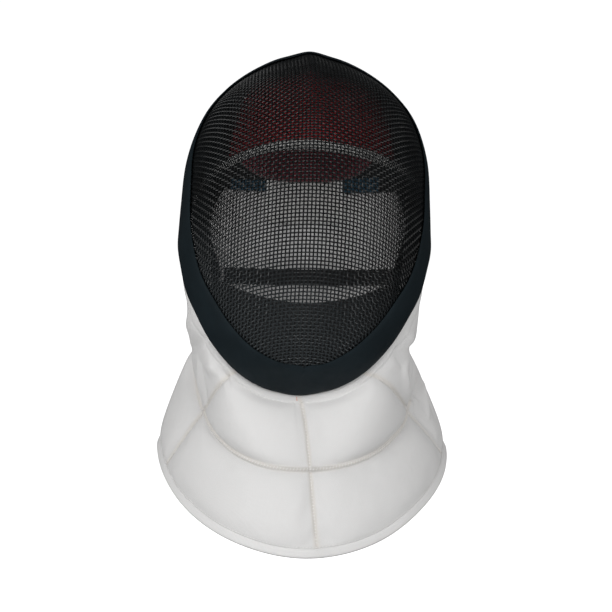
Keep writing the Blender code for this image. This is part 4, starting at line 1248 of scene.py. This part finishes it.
def fill_quilt():
    """Blow the outer cloth out between its seams. Returns how far it rose, in mm, as a grid."""
    mesh, grid, placed, sewn = quilt_sheet()
    sheet = bpy.data.objects.new("quilt_sheet", mesh)
    bpy.context.scene.collection.objects.link(sheet)
    sheet.vertex_groups.new(name="sewn").add([int(i) for i in np.flatnonzero(sewn)], 1.0, "ADD")
    filling = sheet.vertex_groups.new(name="filling")
    spots = bib_spot(grid[:, 0], grid[:, 1])
    for index, share in enumerate(bib_puff(*spots) / max(BIB_LOWER_PUFFS)):
        filling.add([index], float(share), "ADD")
    blown = sheet.modifiers.new("filling", "CLOTH").settings
    for name, value in QUILT_SETTINGS.items():
        setattr(blown, name, value)
    blown.effector_weights.gravity = 0.0
    for number in range(1, QUILT_FRAMES + 1):
        bpy.context.scene.frame_set(number)
    graph = bpy.context.evaluated_depsgraph_get()
    filled = bpy.data.meshes.new_from_object(sheet.evaluated_get(graph))
    points = np.empty(len(placed) * 3)
    filled.vertices.foreach_get("co", points)
    moved = (points.reshape(-1, 3) - placed) / MM
    rise = (moved * bib_facing(*spots)).sum(-1)
    bpy.data.objects.remove(sheet, do_unlink=True)
    bpy.data.meshes.remove(filled)
    bpy.context.scene.frame_set(1)
    order = np.lexsort((grid[:, 0].round(5), grid[:, 1].round(5)))
    rise = np.clip(rise[order], -QUILT_REACH, QUILT_REACH)
    rise = rise.reshape(QUILT_CELLS_DOWN + 1, QUILT_CELLS_ROUND + 1)
    for _ in range(QUILT_SMOOTHING):
        for way in (rise, rise.T):
            way[1:-1] = (way[:-2] + 2.0 * way[1:-1] + way[2:]) / 4.0
    return rise


def finer(heights):
    """A grid of heights with a new line halfway between each two, on smooth curves."""
    for _ in range(2):
        heights = spline_rows(heights, np.arange(2 * len(heights) - 1) / 2.0).T
    return heights


def on_grid(heights, u, v):
    """Values of a grid of heights at points from -1 to 1 each way."""
    rows, columns = heights.shape[0] - 1, heights.shape[1] - 1
    x, y = (u + 1.0) / 2.0 * columns, (v + 1.0) / 2.0 * rows
    i = np.clip(np.floor(x + 1e-6).astype(int), 0, columns - 1)
    j = np.clip(np.floor(y + 1e-6).astype(int), 0, rows - 1)
    s, t = x - i, y - j
    return ((heights[j, i] * (1 - s) + heights[j, i + 1] * s) * (1 - t)
            + (heights[j + 1, i] * (1 - s) + heights[j + 1, i + 1] * s) * t)


def bib_place(u, v, w):
    """The bib's wall, from the trim down to where its hem band begins."""
    around, down = bib_spot(u, v)
    level, share = bib_relief(around, down), 1.0
    if QUILT is not None:
        level, share = level + on_grid(QUILT, u, v), QUILT_START
    inside = np.minimum(level + BIB_DENT, 0.0)
    level = inside + (level - inside) * w
    return bib_wall_point(around, down, w, share) + bib_facing(around, down) * level[..., None]


def hem_place(u, v, w):
    """The folded hem band: thickest in the middle and rounded off at its lower edge."""
    around = bib_around(u, np.full_like(u, 2.0))
    length = HEM_WIDTH / (2.0 - bib_hem_down(around))
    start = bib_hem_down(around) - HEM_LAP / length
    down = start + (1.0 - v) / 2.0 * (2.0 - start)
    outward = bib_outward(around, np.full_like(down, BIB_LOWER_FACING))
    half = (w - 0.5) * HEM_THICKNESS * rounded(v, 4.0, 0.3)
    return bib_base(around, down) + outward * half[..., None]


class MASK_OT_bib(bpy.types.Operator):
    """Make the quilted white bib and its hem band"""
    bl_idname = "mask.bib"
    bl_label = "Quilted bib"

    def execute(self, context):
        global QUILT
        QUILT = finer(fill_quilt())
        mesh = slab("quilted_bib", BIB_CELLS_ROUND, BIB_CELLS_DOWN, bib_place, BIB_CLOTH_SIZE)
        material = bib_material(context.scene.mask_colours.bib_seams)
        finish_piece("quilted_bib", mesh, material, "bib", ("bib",), fill=0.7)
        mesh = slab("hem_band", BIB_CELLS_ROUND, 10, hem_place, (BIB_CLOTH_SIZE[0], HEM_WIDTH))
        finish_piece("hem_band", mesh, cloth("hem_cloth"), "bib", ("bib_hem",), fill=0.6)
        return {"FINISHED"}


# Stitches of the bib.

def stitch_line(bm, thickness, around, down, lift, length, spacing, turned=0.0):
    """Lay stitches along a line of the bib: short rounded threads, half sunk in the cloth.

    lift is how far out of the cloth they lie, and turned is the angle from the line to each stitch.
    """
    facing = bib_facing(around, down)
    level = bib_relief(around, down) + lift
    path = (bib_wall_point(around, down, np.ones_like(down)) + facing * level[..., None]) * MM
    so_far = travelled(path)

    def at(place, table):
        return Vector([np.interp(place, so_far, column) for column in table.T])

    for start in np.arange(spacing, so_far[-1] - spacing, spacing):
        along = (at(start + spacing / 2, path) - at(start - spacing / 2, path)).normalized()
        up = at(start, facing)
        up = (up - along * up.dot(along)).normalized()
        along = Matrix.Rotation(math.radians(turned), 3, up) @ along
        turn = Matrix((along, along.cross(up), up)).transposed().to_4x4()
        size = Matrix.Diagonal((length / 2, thickness / 2, thickness / 2, 1.0))
        bmesh.ops.create_icosphere(bm, subdivisions=1, radius=1.0,
                                   matrix=Matrix.Translation(at(start, path)) @ turn @ size)


def sew(name, thread, lines):
    """Make one piece of several lines of stitches."""
    bm = bmesh.new()
    for line in lines:
        stitch_line(bm, bpy.context.scene.mask_sizes.thread_diameter, *line)
    bmesh.ops.recalc_face_normals(bm, faces=bm.faces[:])
    finish_piece(name, finished_mesh(name, bm), cloth(thread), "bib")


class MASK_OT_stitches(bpy.types.Operator):
    """Sew the bib's seams, its top strip and its hem"""
    bl_idname = "mask.stitches"
    bl_label = "Bib stitches"

    def execute(self, context):
        length, spacing = (getattr(context.scene.mask_sizes, name)
                           for name in ("stitch_length", "stitch_pitch"))
        sideways = np.linspace(-STITCHES_END, STITCHES_END, 600)
        seam = np.linspace(-ARC_ENDS[0], ARC_ENDS[0], 600)
        down = np.linspace(TOP_STRIP + 0.02, 1.9, 300)
        left, centre, right = bib_seams(down)[1:4]
        plain = 0.15, length * 0.8, spacing * 0.9
        sew("bib_stitches", "bib_thread", (
            (sideways, np.full_like(sideways, TOP_STRIP), 0.15, length, spacing),
            (sideways, bib_hem_down(sideways) - 0.025, 0.15, length * 0.8, spacing * 0.75),
            (seam, np.ones_like(seam), 0.1, length * 1.3, spacing * 0.75, SEAM_STITCH_DEG),
            (centre, down, 0.15, length * 0.85, spacing * 0.75, CENTRE_STITCH_DEG),
            (left, down, *plain), (right, down, *plain)))
        down = np.linspace(0.02, TOP_STRIP, 30)
        sew("top_thread", "coral_thread",
            ((np.full_like(down, TOP_THREAD_PLACE), down, 0.1, 2.4 * MM, 2.0 * MM),))
        return {"FINISHED"}


# The lining. w runs from 0 on a pad's inner face to 1 on its outer face.

def between(v, low, high):
    """A value that runs from low, where v is -1, to high, where v is 1."""
    return low + (high - low) * (v + 1.0) / 2.0


def under_wire(row, degrees, w, depth, sunk=0.0):
    """A point of a pad under the wire, whose outer face may be sunk below its place."""
    below = MESH_THICKNESS / 2 + PAD_GAP + sunk + (1.0 - w) * depth
    return bowl_offset(row, np.radians(degrees), -below)


def crown_pad_place(u, v, w):
    """The thick pad under the crown, rounded off at its edges."""
    forward = between(v, 1.0, 0.0)
    degrees = u * (CROWN_PAD_BACK_DEG + (CROWN_PAD_FRONT_DEG - CROWN_PAD_BACK_DEG) * forward)
    row = CROWN_PAD_BACK_ROW + (arch_row(degrees) - CROWN_PAD_BACK_ROW) * forward
    full = np.clip((1.0 - forward) / CROWN_PAD_TAPER, 0.0, 1.0)
    depth = CROWN_PAD_FRONT_THICKNESS + (CROWN_PAD_THICKNESS - CROWN_PAD_FRONT_THICKNESS) * full
    depth = depth * rounded(u) * rounded(np.minimum(v, 0.0) * 0.6 + np.maximum(v, 0.0))
    quilt = CROWN_PAD_QUILT * np.abs(np.sin(u * math.pi * 2.0)) ** 0.5
    return under_wire(row, degrees, w, depth - 1.0 + quilt)


def binding_place(u, v, w):
    """The pale tape over the lining's front edge, from temple to temple."""
    degrees = u * BINDING_END_DEG
    row = arch_row(degrees) + BINDING_GAP_ROWS + BINDING_WIDTH_ROWS * between(v, 1.0, 0.0)
    depth = BINDING_THICKNESS * (1.0 - BINDING_END_LOSS * np.abs(u) ** 3)
    soft = BINDING_SOFTNESS * (1.0 - rounded(v, 4.0))
    return under_wire(row, degrees, w, depth - 2.0 * soft, soft)


def side_pad_place(side, u, v, w):
    """The dark pad down one temple. side is -1 for the left and 1 for the right."""
    degrees = between(u, *SIDE_PAD_DEGS) * side
    row = between(v, arch_row(degrees), SIDE_PAD_BACK_ROW)
    return under_wire(row, degrees, w, SIDE_PAD_THICKNESS * rounded(u, 5.0) * rounded(v, 10.0))


def cheek_place(side, u, v, w):
    """The thin dark lining of one cheek, from the forehead binding down to the chin lining."""
    degrees = np.full_like(u, CHEEK_INNER_EDGE[0][1])
    for _ in range(HALVINGS):
        top = arch_row(side * degrees) + CHEEK_TOP_GAP_ROWS
        bottom = chin_top_row(degrees) - CHEEK_BOTTOM_GAP_ROWS
        row = between(v, bottom, top)
        wanted = between(u, np.interp(row, *zip(*CHEEK_INNER_EDGE)), lining_end(row))
        degrees = (degrees + wanted) / 2.0
    depth = CHEEK_THICKNESS * rounded(u, 12.0, 0.3) * rounded(v, 12.0, 0.3)
    return under_wire(row, side * degrees, w, depth)


def chin_place(u, v, w):
    """The charcoal lining behind the lower wire, with a hollow upper edge, clear of the trim."""
    level = between(v, CHIN_END_ROW, CHIN_TOP_ROW)
    rise = between(v, CHIN_END_RISE_ROWS, CHIN_RISE_ROWS)
    reach = np.full_like(u, CHIN_RISE_DEG)
    for _ in range(HALVINGS):
        reach = (reach + lining_end(level - rise * (reach / CHIN_RISE_DEG) ** 2)) / 2.0
    degrees = u * reach
    row = level - rise * (degrees / CHIN_RISE_DEG) ** 2
    return under_wire(row, degrees, w, CHIN_THICKNESS * rounded(u, 12.0) * rounded(v, 12.0))


def tongue_place(u, v, w):
    """The sprung tongue behind the head, in its pale cover."""
    along = between(v, TONGUE_END, 0.0)
    widening = (1.0 - TONGUE_TOP_SHARE) * np.clip(along / TONGUE_WIDE_FROM, 0.0, 1.0)
    width = TONGUE_HALF_WIDTH * (TONGUE_TOP_SHARE + widening)
    soft = rounded(u, 10.0) * rounded(v, 20.0)
    return rear_point(u * width, along, -TONGUE_THICKNESS * (0.5 + (w - 0.5) * soft))


def nape_pad_place(u, v, w):
    """The lens-shaped cushion in front of the tongue."""
    x = lens(u, v, NAPE_HALF_WIDTH, NAPE_OUTLINE_POWER, NAPE_END_SHARE)
    rise = NAPE_CORNER_RISE * (x / NAPE_HALF_WIDTH) ** 2 * np.maximum(-v, 0.0)
    height = between(v, NAPE_BOTTOM_Z, NAPE_TOP_Z) + rise
    soft = rounded(u, 5.0) * rounded(v, 5.0)
    return rear_point(x, tongue_along(height), NAPE_GAP + (1.0 - w) * NAPE_THICKNESS * soft)


def behind_tongue(x, height, depth):
    """A point of a piece that lies behind the tongue, at a depth into that piece."""
    return rear_point(x, tongue_along(height), -TONGUE_THICKNESS - REAR_GAP - depth)


def nape_lining_place(u, v, w):
    """The dark lining behind the tongue's cover. Its lower edge hangs behind the low rear pad."""
    height = between(v, NAPE_LINING_BOTTOM_Z, NAPE_LINING_TOP_Z)
    soft = rounded(u, 14.0, 0.3) * rounded(v, 14.0, 0.3)
    back = np.clip((NAPE_LINING_BACK_Z - height) / NAPE_LINING_BACK_OVER, 0.0, 1.0)
    depth = NAPE_LINING_THICKNESS * (0.5 + (w - 0.5) * soft) + back * NAPE_LINING_BACK
    return behind_tongue(u * NAPE_LINING_HALF_WIDTH, height, depth)


def occiput_place(u, v, w):
    """The wide pale pad low behind the head, which the tongue's cover laps over."""
    x = lens(u, v, OCCIPUT_HALF_WIDTH, OCCIPUT_OUTLINE_POWER, OCCIPUT_END_SHARE)
    soft = rounded(u, 10.0, 0.2) * rounded(v, 10.0, 0.2)
    height = between(v, OCCIPUT_BOTTOM_Z, OCCIPUT_TOP_Z)
    return behind_tongue(x, height, OCCIPUT_THICKNESS * (0.5 + (w - 0.5) * soft))


def nape_band_place(u, v, w):
    """The dark blue band behind the tongue's cover, showing at each side of it."""
    top = BAND_TOP_Z + BAND_RIGHT_RISE * np.clip(u, 0.0, 1.0)
    return behind_tongue(u * BAND_HALF_WIDTH, between(v, BAND_BOTTOM_Z, top), w * BAND_THICKNESS)


def strap_place(u, v, w):
    """The elastic band behind the head, sewn to the trim at both ends."""
    centre, facing = strap_centre(u)
    thick = (w - 0.5) * STRAP_THICKNESS * rounded(v, 14.0, 0.4)
    return centre + UP * (v * STRAP_WIDTH / 2)[..., None] + facing * thick[..., None]


def slider_place(u, v, w):
    """The flat ring that the strap runs through, near its left end."""
    corner = (u + 1.0) / 2.0 * 4.0
    inner = np.where(w > 0.5, SLIDER_WALL, 0.0) + SLIDER_GAP
    ups, outs = (np.interp(corner, (0, 1, 2, 3, 4), signs) * (half + inner) for signs, half in (
        ((-1, 1, 1, -1, -1), STRAP_WIDTH / 2),
        ((-1, -1, 1, 1, -1), STRAP_THICKNESS / 2 + SLIDER_SLACK)))
    centre, facing = strap_centre(np.full_like(u, -1.0 + SLIDER_ALONG))
    return (centre + UP * ups[..., None] + facing * outs[..., None]
            + np.cross(facing, UP) * (v * SLIDER_LENGTH / 2)[..., None])


# Pieces of one slab each. cloth_size is in millimetres, and fill is not used.
PIECE_COLUMNS = ("name", "cells", "place", "cloth_size", "crowd", "cloth", "slot", "node", "fill")
LINING_PIECES = (
    ("crown_cushion", (60, 60), crown_pad_place, (140.0, 190.0), 0.8, "crown_cloth",
     "crown_pad", "crown_pad", 0.8),
    ("forehead_tape", (130, 8), binding_place, (240.0, 7.0), 0.0, "binding_tape",
     "forehead_binding", "forehead_binding", None),
    ("side_cushion_left", (24, 48), functools.partial(side_pad_place, -1), (45.0, 130.0), 0.8,
     "side_cloth", "side_pad", "side_pad_left", 0.7),
    ("cheek_cloth_left", (30, 60), functools.partial(cheek_place, -1), (40.0, 80.0), 0.6,
     "lining_cloth", "dark_lining", "cheek_lining_left", 0.3),
    ("side_cushion_right", (24, 48), functools.partial(side_pad_place, 1), (45.0, 130.0), 0.8,
     "side_cloth", "side_pad", "side_pad_right", 0.7),
    ("cheek_cloth_right", (30, 60), functools.partial(cheek_place, 1), (40.0, 80.0), 0.6,
     "lining_cloth", "dark_lining", "cheek_lining_right", 0.3),
    ("chin_cloth_lining", (70, 40), chin_place, (160.0, 70.0), 0.6, "chin_cloth",
     "chin_lining", "chin_lining", 0.5),
)
REAR_PIECES = (
    ("tongue_cover", (40, 90), tongue_place, (65.0, 170.0), 0.6, "tongue_cloth",
     "rear_tongue", "rear_tongue", 0.6),
    ("nape_cushion", (60, 40), nape_pad_place, (120.0, 69.0), 0.8, "nape_cloth",
     "nape_pad", "nape_pad", 0.8),
    ("nape_cloth", (84, 36), nape_lining_place, (168.0, 51.0), 0.5, "nape_lining_cloth",
     "dark_lining", "nape_lining", 0.3),
    ("occiput_cushion", (70, 44), occiput_place, (172.0, 95.0), 0.7, "occiput_cloth",
     "occiput_pad", "occiput_pad", 0.7),
    ("nape_webbing", (60, 6), nape_band_place, (122.0, 9.5), 0.0, "nape_webbing",
     "nape_band", "nape_band", None),
)
STRAP_PIECES = (
    ("elastic_strap", (150, 10), strap_place, (380.0, 16.0), 0.0, "strap_elastic",
     "back_strap", "back_strap", None),
)


def make_slabs(pieces):
    """Make the pieces of a table. Pieces of the same cloth share it."""
    cloths = {}
    for values in pieces:
        piece = dict(zip(PIECE_COLUMNS, values))
        if piece["cloth"] not in cloths:
            cloths[piece["cloth"]] = cloth(piece["cloth"])
        mesh = slab(piece["name"], *piece["cells"], piece["place"], piece["cloth_size"],
                    crowd=piece["crowd"])
        finish_piece(piece["name"], mesh, cloths[piece["cloth"]], piece["slot"],
                     (piece["node"],), piece["fill"])
    return {"FINISHED"}


class MASK_OT_lining(bpy.types.Operator):
    """Make the pads and linings inside the wire"""
    bl_idname = "mask.lining"
    bl_label = "Lining"

    def execute(self, context):
        return make_slabs(LINING_PIECES)


class MASK_OT_rear(bpy.types.Operator):
    """Make the rear tongue, the nape pad, the low rear pad and the nape band"""
    bl_idname = "mask.rear"
    bl_label = "Rear tongue and nape"

    def execute(self, context):
        return make_slabs(REAR_PIECES)


class MASK_OT_strap(bpy.types.Operator):
    """Make the elastic back strap and its slider"""
    bl_idname = "mask.strap"
    bl_label = "Back strap"

    def execute(self, context):
        make_slabs(STRAP_PIECES)
        mesh = slab("moulded_slider", 4, 1, slider_place, (40.0, 7.0), closed_u=True)
        bm = bmesh.new()
        bm.from_mesh(mesh)
        bmesh.ops.bevel(bm, geom=bm.edges[:], offset=0.5 * MM, offset_type="OFFSET",
                        affect="EDGES", segments=2, profile=0.5, material=-1)
        bm.to_mesh(mesh)
        bm.free()
        finish_piece("moulded_slider", mesh, moulded_material(context.scene.mask_colours.slider),
                     "strap_slider", ("strap_slider",))
        return {"FINISHED"}


# The studio.

def area_light(name, place, aim, size, watts):
    light = bpy.data.lights.new(name, "AREA")
    light.energy = watts
    light.size = size
    lamp = bpy.data.objects.new(name, light)
    lamp.location = place
    lamp.rotation_euler = (Vector(aim) - Vector(place)).to_track_quat("-Z", "Y").to_euler()
    bpy.context.scene.collection.objects.link(lamp)


def place_camera(scene):
    """The camera, as the photograph was taken."""
    camera = bpy.data.objects.new("camera", bpy.data.cameras.new("camera"))
    camera.data.lens = CAMERA_LENS
    camera.data.sensor_width = 36.0
    camera.data.clip_start, camera.data.clip_end = 0.05, 100.0
    turn, tilt = math.radians(CAMERA_AZIMUTH), math.radians(CAMERA_ELEVATION)
    back = Vector((math.sin(turn) * math.cos(tilt), -math.cos(turn) * math.cos(tilt),
                   math.sin(tilt)))
    level = back.to_track_quat("Z", "Y").to_matrix().to_4x4()
    rolled = level @ Matrix.Rotation(math.radians(CAMERA_ROLL), 4, "Z")
    place = (Vector(CAMERA_TARGET) + back * CAMERA_DISTANCE) * MM
    camera.matrix_world = Matrix.Translation(place) @ rolled
    scene.collection.objects.link(camera)
    scene.camera = camera


def light_room(scene):
    """A white backdrop for the camera, and a dimmer room for light and for reflections."""
    scene.world = bpy.data.worlds.new("studio")
    scene.world.use_nodes = True
    tree = scene.world.node_tree
    backdrop = tree.nodes["Background"].inputs
    backdrop["Color"].default_value = (1.0, 1.0, 1.0, 1.0)
    rays = tree.nodes.new("ShaderNodeLightPath").outputs
    seen = math_node(tree, "MULTIPLY_ADD", rays["Is Camera Ray"],
                     BACKDROP_LIGHT - ROOM_LIGHT, ROOM_LIGHT)
    strength = math_node(tree, "MULTIPLY_ADD", rays["Is Glossy Ray"],
                         ROOM_GLOSS - ROOM_LIGHT, seen)
    link(tree, strength, backdrop["Strength"])
    for light in LIGHTS:
        area_light(*light)


class MASK_OT_stage(bpy.types.Operator):
    """Set the pale floor, the studio lights and the camera"""
    bl_idname = "mask.stage"
    bl_label = "Studio"

    def execute(self, context):
        scene = context.scene
        scene.view_settings.view_transform = "Standard"
        place_camera(scene)
        light_room(scene)
        bm = bmesh.new()
        bmesh.ops.create_circle(bm, cap_ends=True, segments=96, radius=FLOOR_RADIUS * MM,
                                matrix=Matrix.Translation((0.0, 0.0, FLOOR_Z * MM)))
        mesh = finished_mesh("floor", bm)
        material, _, shader, _ = new_material("floor_paper", 0.9, 0.2)
        shader["Base Color"].default_value = (0.9, 0.9, 0.9, 1.0)
        shader["Emission Color"].default_value = (1.0, 1.0, 1.0, 1.0)
        shader["Emission Strength"].default_value = 1.0
        mesh.materials.append(material)
        floor = bpy.data.objects.new("floor", mesh)
        floor.visible_diffuse = floor.visible_glossy = False
        scene.collection.objects.link(floor)
        return {"FINISHED"}


class MASK_PT_panel(bpy.types.Panel):
    """Lists the mask's sizes, colours and pieces"""
    bl_idname = "MASK_PT_panel"
    bl_label = "Fencing Mask"
    bl_space_type = "VIEW_3D"
    bl_region_type = "UI"
    bl_category = "Mask"

    def draw(self, context):
        for group in (context.scene.mask_sizes, context.scene.mask_colours):
            for name in group.__annotations__:
                self.layout.prop(group, name)
        for maker in MAKERS:
            self.layout.operator(maker.bl_idname)


MAKERS = (MASK_OT_stage, MASK_OT_wires, MASK_OT_trim, MASK_OT_bib, MASK_OT_stitches,
          MASK_OT_lining, MASK_OT_rear, MASK_OT_strap)
CLASSES = (MaskSizes, MaskColours, *MAKERS, MASK_PT_panel)


def register():
    for listed in CLASSES:
        bpy.utils.register_class(listed)
    bpy.types.Scene.mask_sizes = PointerProperty(type=MaskSizes)
    bpy.types.Scene.mask_colours = PointerProperty(type=MaskColours)


def unregister():
    del bpy.types.Scene.mask_colours
    del bpy.types.Scene.mask_sizes
    for listed in reversed(CLASSES):
        bpy.utils.unregister_class(listed)


def main():
    register()
    bpy.ops.mask.stage()
    bpy.ops.mask.wires()
    bpy.ops.mask.trim()
    bpy.ops.mask.bib()
    bpy.ops.mask.stitches()
    bpy.ops.mask.lining()
    bpy.ops.mask.rear()
    bpy.ops.mask.strap()


if __name__ == "__main__":
    main()
